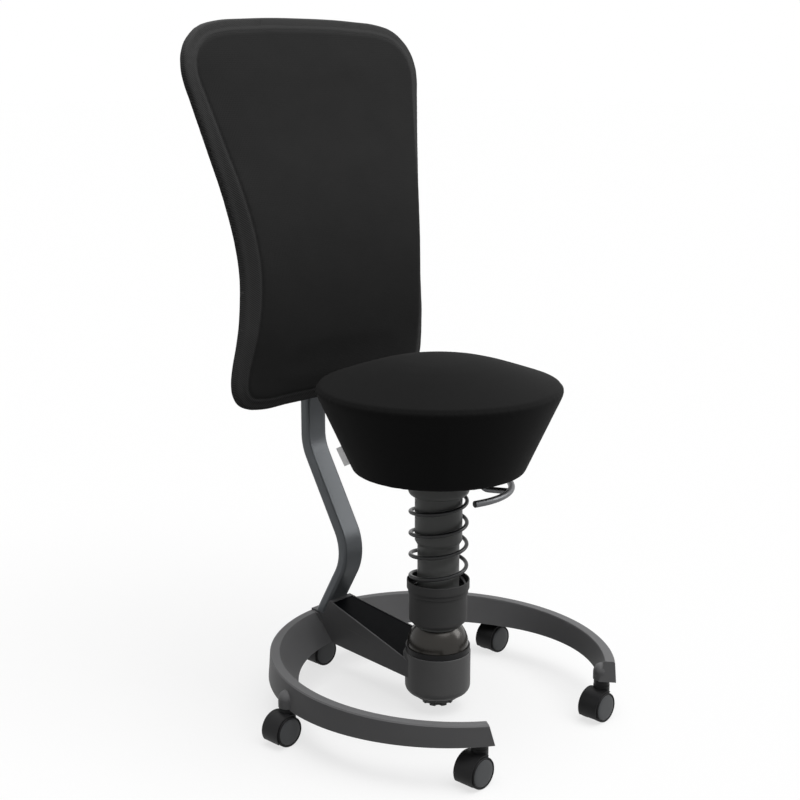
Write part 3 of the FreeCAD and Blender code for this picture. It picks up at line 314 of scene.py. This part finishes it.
# Rear board: a moulded shell of black polypropylene behind the padded back.
# It is screwed to the stem, and its edge is tucked inside the pad's border.
# Polypropylene: a soft matt black with a leather-like mould grain of about 2 mm.
shell_plastic, tree, shader, place = begin("grained_polypropylene")
grain = add(tree, "TexVoronoi", {"Scale": 1 / 0.002}, {"Vector": place})
cloud = add(tree, "TexNoise", {"Scale": 1 / 0.05, "Detail": 3.0}, {"Vector": place})
tone = add(tree, "Mix", {"data_type": "RGBA", 6: linear("#1d1d1e"), 7: linear("#242425")},
           {0: cloud.outputs["Fac"]})
skin = add(tree, "Bump", {"Strength": 0.25, "Distance": 0.0003}, {"Height": grain.outputs["Distance"]})
tree.links.new(tone.outputs[2], shader.inputs["Base Color"])
tree.links.new(skin.outputs["Normal"], shader.inputs["Normal"])
shader.inputs["Roughness"].default_value = 0.55
shader.inputs["Specular IOR Level"].default_value = 0.2
board_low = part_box("back_board")[0]
board_corner = 0.035


def round_corners(bm):
    """Cuts the board's two lower corners to an arc, with a plane at each step of it."""
    reach = max(abs(vert.co.x) for vert in bm.verts if vert.co.z < board_low.z + 0.01)
    for side in (-1, 1):
        for angle in (15, 30, 45, 60, 75):
            out = Vector((side * math.cos(math.radians(angle)), 0, -math.sin(math.radians(angle))))
            middle = Vector((side * (reach - board_corner), 0, board_low.z + board_corner))
            bmesh.ops.bisect_plane(bm, geom=bm.verts[:] + bm.edges[:] + bm.faces[:], plane_no=out,
                                   plane_co=middle + out * board_corner, clear_outer=True)
            bmesh.ops.holes_fill(bm, edges=[e for e in bm.edges if e.is_boundary], sides=0)
    bmesh.ops.recalc_face_normals(bm, faces=bm.faces)


soft_edged("back_shell", "back_board", shell_plastic, 0.003, trim=round_corners)


# Padded back: foam on the board under a stretched black knit. A softly bevelled border runs
# round the front, joined to it by a sewn seam. The foam swells the front a little, so the piece
# is blown up as cloth from a slightly thinner form.
pad_outline = [
    (0.0, 0.5018), (0.100, 0.5018), (0.168, 0.5024), (0.1990, 0.5112), (0.2140, 0.5288),
    (0.2195, 0.5500), (0.2188, 0.5750), (0.2135, 0.6150), (0.2070, 0.6700), (0.2048, 0.7200),
    (0.2070, 0.7650), (0.2178, 0.8400), (0.2348, 0.9200), (0.2530, 1.0000), (0.2605, 1.0350),
    (0.2600, 1.0583), (0.2524, 1.0810), (0.2366, 1.1003), (0.2156, 1.1144), (0.1853, 1.1230),
    (0.1200, 1.1287), (0.0, 1.1315)]
pad_levels = [
    (0.485, 0.240, 0.256, 0.2780), (0.560, 0.233, 0.249, 0.2780), (0.640, 0.216, 0.239, 0.2780),
    (0.740, 0.212, 0.240, 0.2795), (0.840, 0.228, 0.255, 0.2855), (0.940, 0.257, 0.277, 0.2975),
    (1.040, 0.286, 0.299, 0.3125), (1.145, 0.312, 0.321, 0.3285)]
pad_border = 0.020
pad_rear_border = 0.028
pad_ridge = 0.005


def smooth_level(z, column):
    """One column of the pad's levels at a height, with a smooth curve through them."""
    last = len(pad_levels) - 1
    k = max(0, min(last - 1, sum(1 for level in pad_levels[1:-1] if level[0] <= z)))
    points = [pad_levels[max(0, min(last, k + step))] for step in (-1, 0, 1, 2)]
    t = (z - points[1][0]) / (points[2][0] - points[1][0])
    before, start, end, after = [point[column] for point in points]
    rise = (end - before) / 2
    fall = (after - start) / 2
    return ((2 * start - 2 * end + rise + fall) * t ** 3
            + (3 * end - 3 * start - 2 * rise - fall) * t ** 2 + rise * t + start)


def outline_mesh(name, points, resolution):
    """A closed smooth line through points and their mirror images, as a mesh at y = 0."""
    loop = points + [(-x, z) for x, z in reversed(points[1:-1])]
    curve = bpy.data.curves.new(name, "CURVE")
    curve.dimensions = "3D"
    curve.resolution_u = resolution
    spline = curve.splines.new("BEZIER")
    spline.bezier_points.add(len(loop) - 1)
    for knot, (x, z) in zip(spline.bezier_points, loop):
        knot.co = (x, 0.0, z)
        knot.handle_left_type = "AUTO"
        knot.handle_right_type = "AUTO"
    spline.use_cyclic_u = True
    holder = bpy.data.objects.new(name, curve)
    bpy.context.scene.collection.objects.link(holder)
    bpy.context.view_layer.update()
    mesh = bpy.data.meshes.new_from_object(holder.evaluated_get(bpy.context.evaluated_depsgraph_get()))
    bpy.data.objects.remove(holder)
    return mesh


bm = bmesh.new()
bm.from_mesh(outline_mesh("pad_edge_line", pad_outline, 6))
bmesh.ops.remove_doubles(bm, verts=bm.verts, dist=0.0001)
face = bmesh.ops.contextual_create(bm, geom=bm.edges[:])["faces"][0]
if face.normal.y > 0:
    face.normal_flip()
sheet_back = bmesh.ops.extrude_face_region(bm, geom=[face], use_keep_orig=True)
front = face
rear = [f for f in sheet_back["geom"] if isinstance(f, bmesh.types.BMFace)][0]
bmesh.ops.translate(bm, verts=rear.verts, vec=(0, 0.02, 0))
rear.normal_flip()
bmesh.ops.inset_region(bm, faces=[front], thickness=pad_border, use_even_offset=True)
bmesh.ops.translate(bm, verts=front.verts, vec=(0, -1.0, 0))
bmesh.ops.inset_region(bm, faces=[rear], thickness=pad_rear_border, use_even_offset=True)
bmesh.ops.translate(bm, verts=rear.verts, vec=(0, 1.0, 0))
bmesh.ops.recalc_face_normals(bm, faces=bm.faces)
for step in range(1, 32):
    height = 0.5 + 0.02 * step
    bmesh.ops.bisect_plane(bm, geom=bm.verts[:] + bm.edges[:] + bm.faces[:], plane_co=(0, 0, height),
                           plane_no=(0, 0, 1))
for vert in bm.verts:
    front_y, ridge_y, rear_y = [smooth_level(vert.co.z, column) for column in (1, 2, 3)]
    if vert.co.y < 0.01:
        vert.co.y = ridge_y - pad_ridge + (ridge_y - pad_ridge - front_y) * vert.co.y
    else:
        vert.co.y = ridge_y + pad_ridge + (rear_y - ridge_y - pad_ridge) * (vert.co.y - 0.02)

# Stretched knit: a charcoal-black polyester with rows of stitches about 2 mm apart, drawn at 3 mm
# so that they show, and a short soft sheen. The border's ribs run diagonally, 2.5 mm apart.
# A wave texture repeats every pi / 10 of its own unit.
back_knit, tree, shader, place = begin("black_polyester_knit")
border = add(tree, "Attribute", {"attribute_name": "border"}).outputs["Fac"]
turned_rows = add(tree, "Mapping", {"Rotation": (0.0, math.radians(45), 0.0)}, {"Vector": place})
ribs = add(tree, "TexWave", {"Scale": math.pi / 10 / 0.0025, "bands_direction": "X"},
           {"Vector": turned_rows.outputs["Vector"]})
rows = add(tree, "TexWave", {"Scale": math.pi / 10 / 0.003, "bands_direction": "Z"}, {"Vector": place})
wales = add(tree, "TexWave", {"Scale": math.pi / 10 / 0.003, "bands_direction": "X"}, {"Vector": place})
stitches = add(tree, "Math", {"operation": "MULTIPLY"}, {0: rows.outputs["Fac"], 1: wales.outputs["Fac"]})
pile = add(tree, "Mix", {}, {0: border, 2: stitches.outputs[0], 3: ribs.outputs["Fac"]})
cloud = add(tree, "TexNoise", {"Scale": 1 / 0.05, "Detail": 4.0}, {"Vector": place})
panel_tone = add(tree, "Mix", {"data_type": "RGBA", 6: linear("#303030"), 7: linear("#363636")},
                 {0: cloud.outputs["Fac"]})
# Painted light: the border's knit is given a lighter grey than the panel's, as painted light from above
# falling on its bevel. Its diagonal rib stripes are the real weave.
border_tone_with_painted_light = add(tree, "Mix", {"data_type": "RGBA", 6: linear("#424242"), 7: linear("#565656")},
               {0: ribs.outputs["Fac"]})
tone = add(tree, "Mix", {"data_type": "RGBA"},
           {0: border, 6: panel_tone.outputs[2], 7: border_tone_with_painted_light.outputs[2]})
skin = add(tree, "Bump", {"Strength": 0.35, "Distance": 0.0006}, {"Height": pile.outputs[0]})
tree.links.new(tone.outputs[2], shader.inputs["Base Color"])
tree.links.new(skin.outputs["Normal"], shader.inputs["Normal"])
shader.inputs["Roughness"].default_value = 0.9
shader.inputs["Specular IOR Level"].default_value = 0.1


def blow_up(piece, pinned, limit, voxel, passes, pressure=4.0):
    """Remeshes a form, swells it as cloth round its pinned places, and smooths it once."""
    form = BVHTree.FromPolygons([vert.co for vert in piece.data.vertices],
                                [face.vertices for face in piece.data.polygons])
    remesh = piece.modifiers.new("even_mesh", "REMESH")
    remesh.mode = "VOXEL"
    remesh.voxel_size = voxel
    bpy.context.view_layer.update()
    depsgraph = bpy.context.evaluated_depsgraph_get()
    even = bpy.data.meshes.new_from_object(piece.evaluated_get(depsgraph))
    piece.modifiers.clear()
    piece.data = even
    for vert in even.vertices:
        vert.co = form.find_nearest(vert.co)[0]
    start = [vert.co.copy() for vert in even.vertices]
    pins = piece.vertex_groups.new(name="pins")
    for vert in even.vertices:
        pins.add([vert.index], pinned(vert.co), "REPLACE")
    cloth = piece.modifiers.new("swell", "CLOTH")
    cloth.settings.use_pressure = True
    cloth.settings.uniform_pressure_force = pressure
    cloth.settings.vertex_group_mass = "pins"
    cloth.settings.effector_weights.gravity = 0.0
    cloth.settings.quality = 4
    scene = bpy.context.scene
    for step in range(1, 21):
        scene.frame_set(step)
    depsgraph = bpy.context.evaluated_depsgraph_get()
    swollen = bpy.data.meshes.new_from_object(piece.evaluated_get(depsgraph))
    piece.modifiers.clear()
    piece.vertex_groups.clear()
    scene.frame_set(1)
    for vert, place in zip(swollen.vertices, start):
        move = vert.co - place
        if move.length > limit:
            vert.co = place + move * (limit / move.length)
    piece.data = swollen
    bm = bmesh.new()
    bm.from_mesh(piece.data)
    for _ in range(passes):
        bmesh.ops.smooth_vert(bm, verts=bm.verts, factor=0.5, use_axis_x=True, use_axis_y=True,
                              use_axis_z=True)
    bmesh.ops.subdivide_edges(bm, edges=bm.edges, cuts=1, use_grid_fill=True, smooth=1.0)
    bm.to_mesh(piece.data)
    bm.free()
    piece.data.shade_smooth()


back_pad = set_piece("back_pad_cover", bm, [back_knit], "base", 180, ["back_pad"])
edge_line = outline_mesh("pad_seam_line", pad_outline, 24)
edge_tree = KDTree(len(edge_line.vertices))
for vert in edge_line.vertices:
    edge_tree.insert((vert.co.x, 0.0, vert.co.z), vert.index)
edge_tree.balance()


def pad_edge_distance(co):
    return edge_tree.find((co.x, 0.0, co.z))[2]


def pad_is_front(co):
    return co.y < smooth_level(co.z, 2)


def pad_pins(co):
    if not pad_is_front(co):
        return 1.0
    return 1.0 if pad_edge_distance(co) < pad_border + 0.004 else 0.0


blow_up(back_pad, pad_pins, 0.004, 0.005, 4)
seam_width = 0.0035
seam_depth = 0.0012
edge_reach = 0.010
ridge_reach = 0.012
ridge_blend = 0.007
border_share = back_pad.data.attributes.new("border", "FLOAT", "POINT")
# The edge is drawn on to its outline, the border is marked for its ribs and for its painted lighter tone,
# and the seam is sunk.
for vert in back_pad.data.vertices:
    edge_point, _, reach = edge_tree.find((vert.co.x, 0.0, vert.co.z))
    off_ridge = abs(vert.co.y - smooth_level(vert.co.z, 2))
    if reach < edge_reach and off_ridge < ridge_reach:
        pull = min(1.0, (ridge_reach - off_ridge) / ridge_blend)
        vert.co.x += (edge_point.x - vert.co.x) * pull
        vert.co.z += (edge_point.z - vert.co.z) * pull
        reach *= 1.0 - pull
    share = 1.0 - max(0.0, min(1.0, (reach - pad_border + 0.001) / 0.002))
    border_share.data[vert.index].value = share if pad_is_front(vert.co) else 1.0
    dip = max(0.0, 1.0 - abs(reach - pad_border) / seam_width)
    if pad_is_front(vert.co):
        vert.co.y += seam_depth * dip * dip * (3 - 2 * dip)
back_pad.data.materials.clear()
back_pad.data.materials.append(back_knit)


# Joint housing: a deep turned aluminium pot at the end of the arm, with a plastic retaining ring
# round the ball, a cover below and a lobed knob that sets how firmly the stool wobbles.
# Coated aluminium: as the ring, a shade darker and smoother.
housing_coat, tree, shader, place = begin("smooth_coated_aluminium")
peel = add(tree, "TexNoise", {"Scale": 1 / 0.002, "Detail": 2.0}, {"Vector": place})
cloud = add(tree, "TexNoise", {"Scale": 1 / 0.05, "Detail": 3.0}, {"Vector": place})
tone = add(tree, "Mix", {"data_type": "RGBA", 6: linear("#686868"), 7: linear("#707070")},
           {0: cloud.outputs["Fac"]})
skin = add(tree, "Bump", {"Strength": 0.1, "Distance": 0.0003}, {"Height": peel.outputs["Fac"]})
tree.links.new(tone.outputs[2], shader.inputs["Base Color"])
tree.links.new(skin.outputs["Normal"], shader.inputs["Normal"])
shader.inputs["Roughness"].default_value = 0.5
shader.inputs["Specular IOR Level"].default_value = 0.22
soft_edged("housing_pot", "joint_housing", housing_coat, 0.0008)
soft_edged("housing_ring", "clamp_ring", nylon, 0.0008)
soft_edged("housing_lid", "housing_cover", housing_coat, 0.002)
soft_edged("wobble_knob", "tilt_knob", housing_coat, 0.0015)
dress(housing_coat, "joint_post")

# Buffer: a ring of black natural rubber between the housing's floor and the ball.
# Rubber: a dull black with a faint bloom.
rubber, tree, shader, place = begin("black_natural_rubber")
bloom = add(tree, "TexNoise", {"Scale": 1 / 0.01, "Detail": 4.0}, {"Vector": place})
tone = add(tree, "Mix", {"data_type": "RGBA", 6: linear("#18181a"), 7: linear("#242425")},
           {0: bloom.outputs["Fac"]})
tree.links.new(tone.outputs[2], shader.inputs["Base Color"])
shader.inputs["Roughness"].default_value = 0.7
shader.inputs["Specular IOR Level"].default_value = 0.15
dress(rubber, "tilt_buffer")


# Ball: a hollow steel half ball, enamelled dark and glossy, that rocks in the housing's mouth on
# a steel cross. Only its shoulder shows between the retaining ring and the spring cup.
# Metallic enamel: a warm dark brown-grey with a soft, slightly rippled gloss.
enamel, tree, shader, place = begin("dark_gloss_enamel")
ripple = add(tree, "TexNoise", {"Scale": 1 / 0.02, "Detail": 1.0}, {"Vector": place})
skin = add(tree, "Bump", {"Strength": 0.05, "Distance": 0.001}, {"Height": ripple.outputs["Fac"]})
tree.links.new(skin.outputs["Normal"], shader.inputs["Normal"])
shader.inputs["Base Color"].default_value = linear("#36332f")
shader.inputs["Metallic"].default_value = 0.3
shader.inputs["Roughness"].default_value = 0.24
shader.inputs["Specular IOR Level"].default_value = 0.4
dress(enamel, "joint_ball")
dress(zinc, "joint_cross")


# Column: a coated steel guide tube on the ball, the spring cup that stands on its foot, and the
# upper tube that slides over it on a plastic bush. The spring collar is a ring pressed on its top,
# in the same coat.
# Coated steel tube: a satin dark grey, smoother than the castings.
tube_coat, tree, shader, place = begin("satin_coated_tube")
peel = add(tree, "TexNoise", {"Scale": 1 / 0.0025, "Detail": 2.0}, {"Vector": place})
cloud = add(tree, "TexNoise", {"Scale": 1 / 0.04, "Detail": 2.0}, {"Vector": place})
tone = add(tree, "Mix", {"data_type": "RGBA", 6: linear("#7c7d7c"), 7: linear("#848584")},
           {0: cloud.outputs["Fac"]})
skin = add(tree, "Bump", {"Strength": 0.07, "Distance": 0.0003}, {"Height": peel.outputs["Fac"]})
tree.links.new(tone.outputs[2], shader.inputs["Base Color"])
tree.links.new(skin.outputs["Normal"], shader.inputs["Normal"])
shader.inputs["Roughness"].default_value = 0.42
shader.inputs["Specular IOR Level"].default_value = 0.2
dress(tube_coat, "guide_tube", "lift_tube", "gas_cylinder", "spring_collar")
soft_edged("slider_tube", "upper_tube", tube_coat, 0.0006)

# Spring cup: a moulding of glass-filled nylon, matt and evenly grained, that stands on the foot of
# the guide tube. The slide bushes are plain nylon sleeves.
# Filled nylon: a dark grey, duller and greyer than the casters'.
filled_nylon, tree, shader, place = begin("glass_filled_nylon")
grain = add(tree, "TexNoise", {"Scale": 1 / 0.0015, "Detail": 3.0}, {"Vector": place})
cloud = add(tree, "TexNoise", {"Scale": 1 / 0.03, "Detail": 2.0}, {"Vector": place})
tone = add(tree, "Mix", {"data_type": "RGBA", 6: linear("#525252"), 7: linear("#5a5a5a")},
           {0: cloud.outputs["Fac"]})
skin = add(tree, "Bump", {"Strength": 0.15, "Distance": 0.0002}, {"Height": grain.outputs["Fac"]})
tree.links.new(tone.outputs[2], shader.inputs["Base Color"])
tree.links.new(skin.outputs["Normal"], shader.inputs["Normal"])
shader.inputs["Roughness"].default_value = 0.55
shader.inputs["Specular IOR Level"].default_value = 0.15
soft_edged("cup_moulding", "spring_cup", filled_nylon, 0.0016)
dress(nylon, "slide_bush", "lift_bush")

# Coil spring: round wire wound to a right-hand coil with flat ends, shot peened and coated.
# It shortens by the column's whole travel as the seat bounces.
# Coated spring steel: dark and satin, lighter where the light runs along the wire.
spring_coat, tree, shader, place = begin("coated_spring_steel")
peen = add(tree, "TexNoise", {"Scale": 1 / 0.002, "Detail": 2.0}, {"Vector": place})
skin = add(tree, "Bump", {"Strength": 0.1, "Distance": 0.0003}, {"Height": peen.outputs["Fac"]})
tree.links.new(skin.outputs["Normal"], shader.inputs["Normal"])
shader.inputs["Base Color"].default_value = linear("#2e2f30")
shader.inputs["Roughness"].default_value = 0.3
shader.inputs["Specular IOR Level"].default_value = 0.3
low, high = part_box("coil_spring")
bm, body = merged_copy("coil_spring")
spring = set_piece("spring_wire", bm, [spring_coat], body, 50, ["coil_spring"])
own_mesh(spring)

# Gas spring: a chromed rod that stands on a bearing in the lift tube, in a coated cylinder.
# Hard chrome: a clear bright mirror with hardly any grain.
chrome, tree, shader, place = begin("hard_chrome")
hair = add(tree, "TexNoise", {"Scale": 1 / 0.003, "Detail": 3.0}, {"Vector": place})
gloss = add(tree, "MapRange", {"To Min": 0.06, "To Max": 0.14}, {"Value": hair.outputs["Fac"]})
tree.links.new(gloss.outputs["Result"], shader.inputs["Roughness"])
shader.inputs["Base Color"].default_value = linear("#d8dadc")
shader.inputs["Metallic"].default_value = 1.0
dress(chrome, "gas_rod")
dress(zinc, "thrust_bearing", "release_pin")


# Seat frame: a turned steel hub and plate, screwed up under a round plywood board.
# They show only from below, inside the skirt.
# Birch plywood: a pale straw with fine long grain, about 3 mm between the darker lines.
plywood, tree, shader, place = begin("birch_plywood")
stretch = add(tree, "Mapping", {"Scale": (1.0, 12.0, 1.0)}, {"Vector": place})
figure = add(tree, "TexNoise", {"Scale": 1 / 0.036, "Detail": 5.0}, {"Vector": stretch.outputs["Vector"]})
tone = add(tree, "Mix", {"data_type": "RGBA", 6: linear("#b08d62"), 7: linear("#cdb085")},
           {0: figure.outputs["Fac"]})
tree.links.new(tone.outputs[2], shader.inputs["Base Color"])
shader.inputs["Roughness"].default_value = 0.6
dress(plywood, "seat_board")
dress(tube_coat, "seat_hub", "seat_plate")
dress(zinc, "plate_screws")


# Seat: a shallow foam dome over a conical foam skirt, in one fitted cover of black felted wool.
# The cover has a sewn seam round the rim and one down the skirt, and its hem is turned in below.
# It is blown up as cloth from a slightly smaller form, so that the cover looks filled.
seat_section = [
    (0.1660, 0.5560), (0.1400, 0.4900), (0.1290, 0.4320), (0.1285, 0.4215), (0.1300, 0.4182),
    (0.1345, 0.4168), (0.1392, 0.4176), (0.1418, 0.4215), (0.1500, 0.4395), (0.1700, 0.4835),
    (0.1880, 0.5230), (0.1968, 0.5420), (0.1990, 0.5485), (0.1992, 0.5540), (0.1968, 0.5578),
    (0.1900, 0.5608), (0.1780, 0.5648), (0.1500, 0.5745), (0.1200, 0.5845), (0.0900, 0.5928),
    (0.0600, 0.5980), (0.0300, 0.6000), (0.0, 0.6005)]
bm = bmesh.new()
turn(bm, seat_section, (0, 0, 0), (0, 0, 1), (1, 0, 0), 96)
rim_edges = [e for e in bm.edges if e.is_boundary]
bmesh.ops.contextual_create(bm, geom=rim_edges)
bmesh.ops.recalc_face_normals(bm, faces=bm.faces)

# Felted wool: a deep soft black with short loose fibres, about 1 mm, that catch a little light,
# drawn at 2 mm so that they show.
felt, tree, shader, place = begin("black_felted_wool")
fibre = add(tree, "TexNoise", {"Scale": 1 / 0.002, "Detail": 6.0, "Roughness": 0.7}, {"Vector": place})
cloud = add(tree, "TexNoise", {"Scale": 1 / 0.04, "Detail": 4.0}, {"Vector": place})
mixed = add(tree, "Math", {"operation": "MULTIPLY"}, {0: fibre.outputs["Fac"], 1: cloud.outputs["Fac"]})
tone = add(tree, "Mix", {"data_type": "RGBA", 6: linear("#0c0c0c"), 7: linear("#151515")},
           {0: mixed.outputs[0]})
skin = add(tree, "Bump", {"Strength": 0.3, "Distance": 0.0005}, {"Height": fibre.outputs["Fac"]})
tree.links.new(tone.outputs[2], shader.inputs["Base Color"])
tree.links.new(skin.outputs["Normal"], shader.inputs["Normal"])
shader.inputs["Roughness"].default_value = 0.95
shader.inputs["Specular IOR Level"].default_value = 0.16

rim_height = 0.5560
rim_seam = 0.004
hem_radius = 0.136
hem_height = 0.43
lining_slope = 0.26
lining_top = 0.557
seat_seam_depth = 0.0012
seam_turn = math.radians(133.4)
seat_cover = set_piece("seat_cover", bm, [felt], "seat", 180,
                       ["seat_cushion", "seat_skirt"])


def seat_pins(co):
    reach = math.hypot(co.x, co.y)
    if co.z < lining_top and reach < hem_radius + lining_slope * max(0.0, co.z - hem_height):
        return 1.0
    return 1.0 if abs(co.z - rim_height) < rim_seam and reach > 0.19 else 0.0


blow_up(seat_cover, seat_pins, 0.003, 0.005, 2)
for vert in seat_cover.data.vertices:
    reach = math.hypot(vert.co.x, vert.co.y)
    if reach < hem_radius + 0.001:
        continue
    out = Vector((vert.co.x / reach, vert.co.y / reach, 0.0))
    dip = max(0.0, 1.0 - abs(vert.co.z - rim_height) / rim_seam)
    if vert.co.z < rim_height:
        aside = abs(vert.co.x * math.sin(seam_turn) - vert.co.y * math.cos(seam_turn))
        towards = vert.co.x * math.cos(seam_turn) + vert.co.y * math.sin(seam_turn)
        if towards > 0:
            dip = max(dip, 1.0 - aside / rim_seam)
    if dip > 0:
        vert.co -= out * seat_seam_depth * dip * dip * (3 - 2 * dip)
seat_cover.data.materials.clear()
seat_cover.data.materials.append(felt)

# Tag: a small woven label folded once and caught in the skirt's seam. It is bare.
# Woven polyester ribbon: pale grey with fine cross ribs, about 0.7 mm apart, drawn at 1.4 mm. Its
# satin weave throws light back like a dull metal.
ribbon, tree, shader, place = begin("woven_polyester_ribbon")
weft = add(tree, "TexWave", {"Scale": math.pi / 10 / 0.0014, "bands_direction": "Z"}, {"Vector": place})
tone = add(tree, "Mix", {"data_type": "RGBA", 6: linear("#e6e6e6"), 7: linear("#f4f4f4")},
           {0: weft.outputs["Fac"]})
tree.links.new(tone.outputs[2], shader.inputs["Base Color"])
shader.inputs["Metallic"].default_value = 0.4
shader.inputs["Roughness"].default_value = 0.55
soft_edged("seam_tag", "seat_tag", ribbon, 0.0004)


# Release lever: a bent steel rod that hangs on two ears under the plate, presses the gas spring's
# pin with its inner end, and curves round under the seat as a handle. It is satin nickelled.
# Satin nickel: a soft mid-grey metal with a fine even blasted grain of about 1 mm.
nickel, tree, shader, place = begin("satin_nickel")
blast = add(tree, "TexNoise", {"Scale": 1 / 0.001, "Detail": 3.0}, {"Vector": place})
gloss = add(tree, "MapRange", {"To Min": 0.34, "To Max": 0.48}, {"Value": blast.outputs["Fac"]})
tree.links.new(gloss.outputs["Result"], shader.inputs["Roughness"])
shader.inputs["Base Color"].default_value = linear("#636466")
shader.inputs["Metallic"].default_value = 0.8
dress(nickel, "release_lever")

# Handle plugs: domed black nylon discs pressed into the two ends of the curved handle. Each end is
# given by its angle round the column, and the plug looks along the handle's tail.
handle_circle = 0.119
handle_radius = 0.0055
plug_section = [(0.0, 0.0014), (0.0035, 0.0012), (0.0049, 0.0007), (0.0053, 0.0), (0.0053, -0.0004),
                (0.0, -0.0004)]
handle_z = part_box("release_lever")[0].z + handle_radius
for name, angle, slant in (("front", -110, 6), ("rear", -38, -6)):
    a = math.radians(angle)
    b = math.radians(angle + slant)
    way = 1 if slant > 0 else -1
    bm = bmesh.new()
    turn(bm, plug_section, (handle_circle * math.cos(a), handle_circle * math.sin(a), handle_z),
         (way * math.sin(b), -way * math.cos(b), 0), (0, 0, 1), 24)
    set_piece(f"handle_plug_{name}", bm, [nylon], "lever")


# Stage: a pale floor, a bright even surround, a broad soft light above and the camera at the
# place and angle of the photograph.
def seen_directly(tree):
    """One for rays from the eye, straight or by way of a mirror or glass, and nought for the rest."""
    ray = add(tree, "LightPath")
    clear = add(tree, "Math", {"operation": "MAXIMUM"},
                {0: ray.outputs["Is Glossy Ray"], 1: ray.outputs["Is Transmission Ray"]})
    return add(tree, "Math", {"operation": "MAXIMUM"},
               {0: ray.outputs["Is Camera Ray"], 1: clear.outputs[0]}).outputs[0]


floor_mesh = bpy.data.meshes.new("floor")
bm = bmesh.new()
bmesh.ops.create_grid(bm, x_segments=1, y_segments=1, size=40.0)
bm.to_mesh(floor_mesh)
bm.free()
floor = bpy.data.objects.new("floor", floor_mesh)
bpy.context.scene.collection.objects.link(floor)
paper, tree, shader, place = begin("white_paper_floor")
tone = add(tree, "Mix", {"data_type": "RGBA", 6: linear("#5c5c5c"), 7: linear("#ffffff")},
           {0: seen_directly(tree)})
tree.links.new(tone.outputs[2], shader.inputs["Base Color"])
shader.inputs["Roughness"].default_value = 1.0
shader.inputs["Specular IOR Level"].default_value = 0.0
glow = add(tree, "Math", {"operation": "MULTIPLY", 1: 0.72}, {0: seen_directly(tree)})
bright = add(tree, "Emission", {"Strength": 1.0})
blend = add(tree, "MixShader", {}, {0: glow.outputs[0], 1: shader.outputs[0], 2: bright.outputs[0]})
tree.links.new(blend.outputs[0], tree.nodes["Material Output"].inputs["Surface"])
floor_mesh.materials.append(paper)
floor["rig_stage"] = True

world = bpy.data.worlds.new("studio")
world.use_nodes = True
bpy.context.scene.world = world
tree = world.node_tree
level = add(tree, "MapRange", {"To Min": 0.13, "To Max": 1.0}, {"Value": seen_directly(tree)})
tree.nodes["Background"].inputs["Color"].default_value = (1.0, 1.0, 1.0, 1.0)
tree.links.new(level.outputs["Result"], tree.nodes["Background"].inputs["Strength"])

sky = bpy.data.lights.new("overhead_light", "SUN")
sky.energy = 2.8
sky.angle = math.radians(64)
overhead = bpy.data.objects.new("overhead_light", sky)
overhead.rotation_euler = Vector((-0.10, 0.25, -1.0)).to_track_quat("-Z", "Y").to_euler()
bpy.context.scene.collection.objects.link(overhead)

# A softbox to the right of the photograph's view gives coated metal its long soft highlights. It
# shows only as a reflection, so that the level of light stays that of the light above.
panel_light = bpy.data.lights.new("softbox", "AREA")
panel_light.shape = "RECTANGLE"
panel_light.size = 0.9
panel_light.size_y = 0.9
panel_light.energy = 13.0
softbox = bpy.data.objects.new("softbox", panel_light)
softbox.location = (1.40, -1.00, 1.09)
softbox.rotation_euler = (Vector((0.0, 0.20, 0.35)) - softbox.location).to_track_quat("-Z", "Y").to_euler()
softbox.visible_camera = False
softbox.visible_diffuse = False
bpy.context.scene.collection.objects.link(softbox)

view = bpy.data.cameras.new("photo_view")
view.sensor_width = 36.0
view.lens = 64.35
camera = bpy.data.objects.new("photo_view", view)
camera.location = (-1.67256, -1.49496, 1.04782)
heading = Vector((0.707887, 0.669610, -0.224762))
camera.rotation_euler = heading.to_track_quat("-Z", "Y").to_euler()
bpy.context.scene.collection.objects.link(camera)
bpy.context.scene.camera = camera
bpy.context.scene.view_settings.view_transform = "Standard"

low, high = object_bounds()
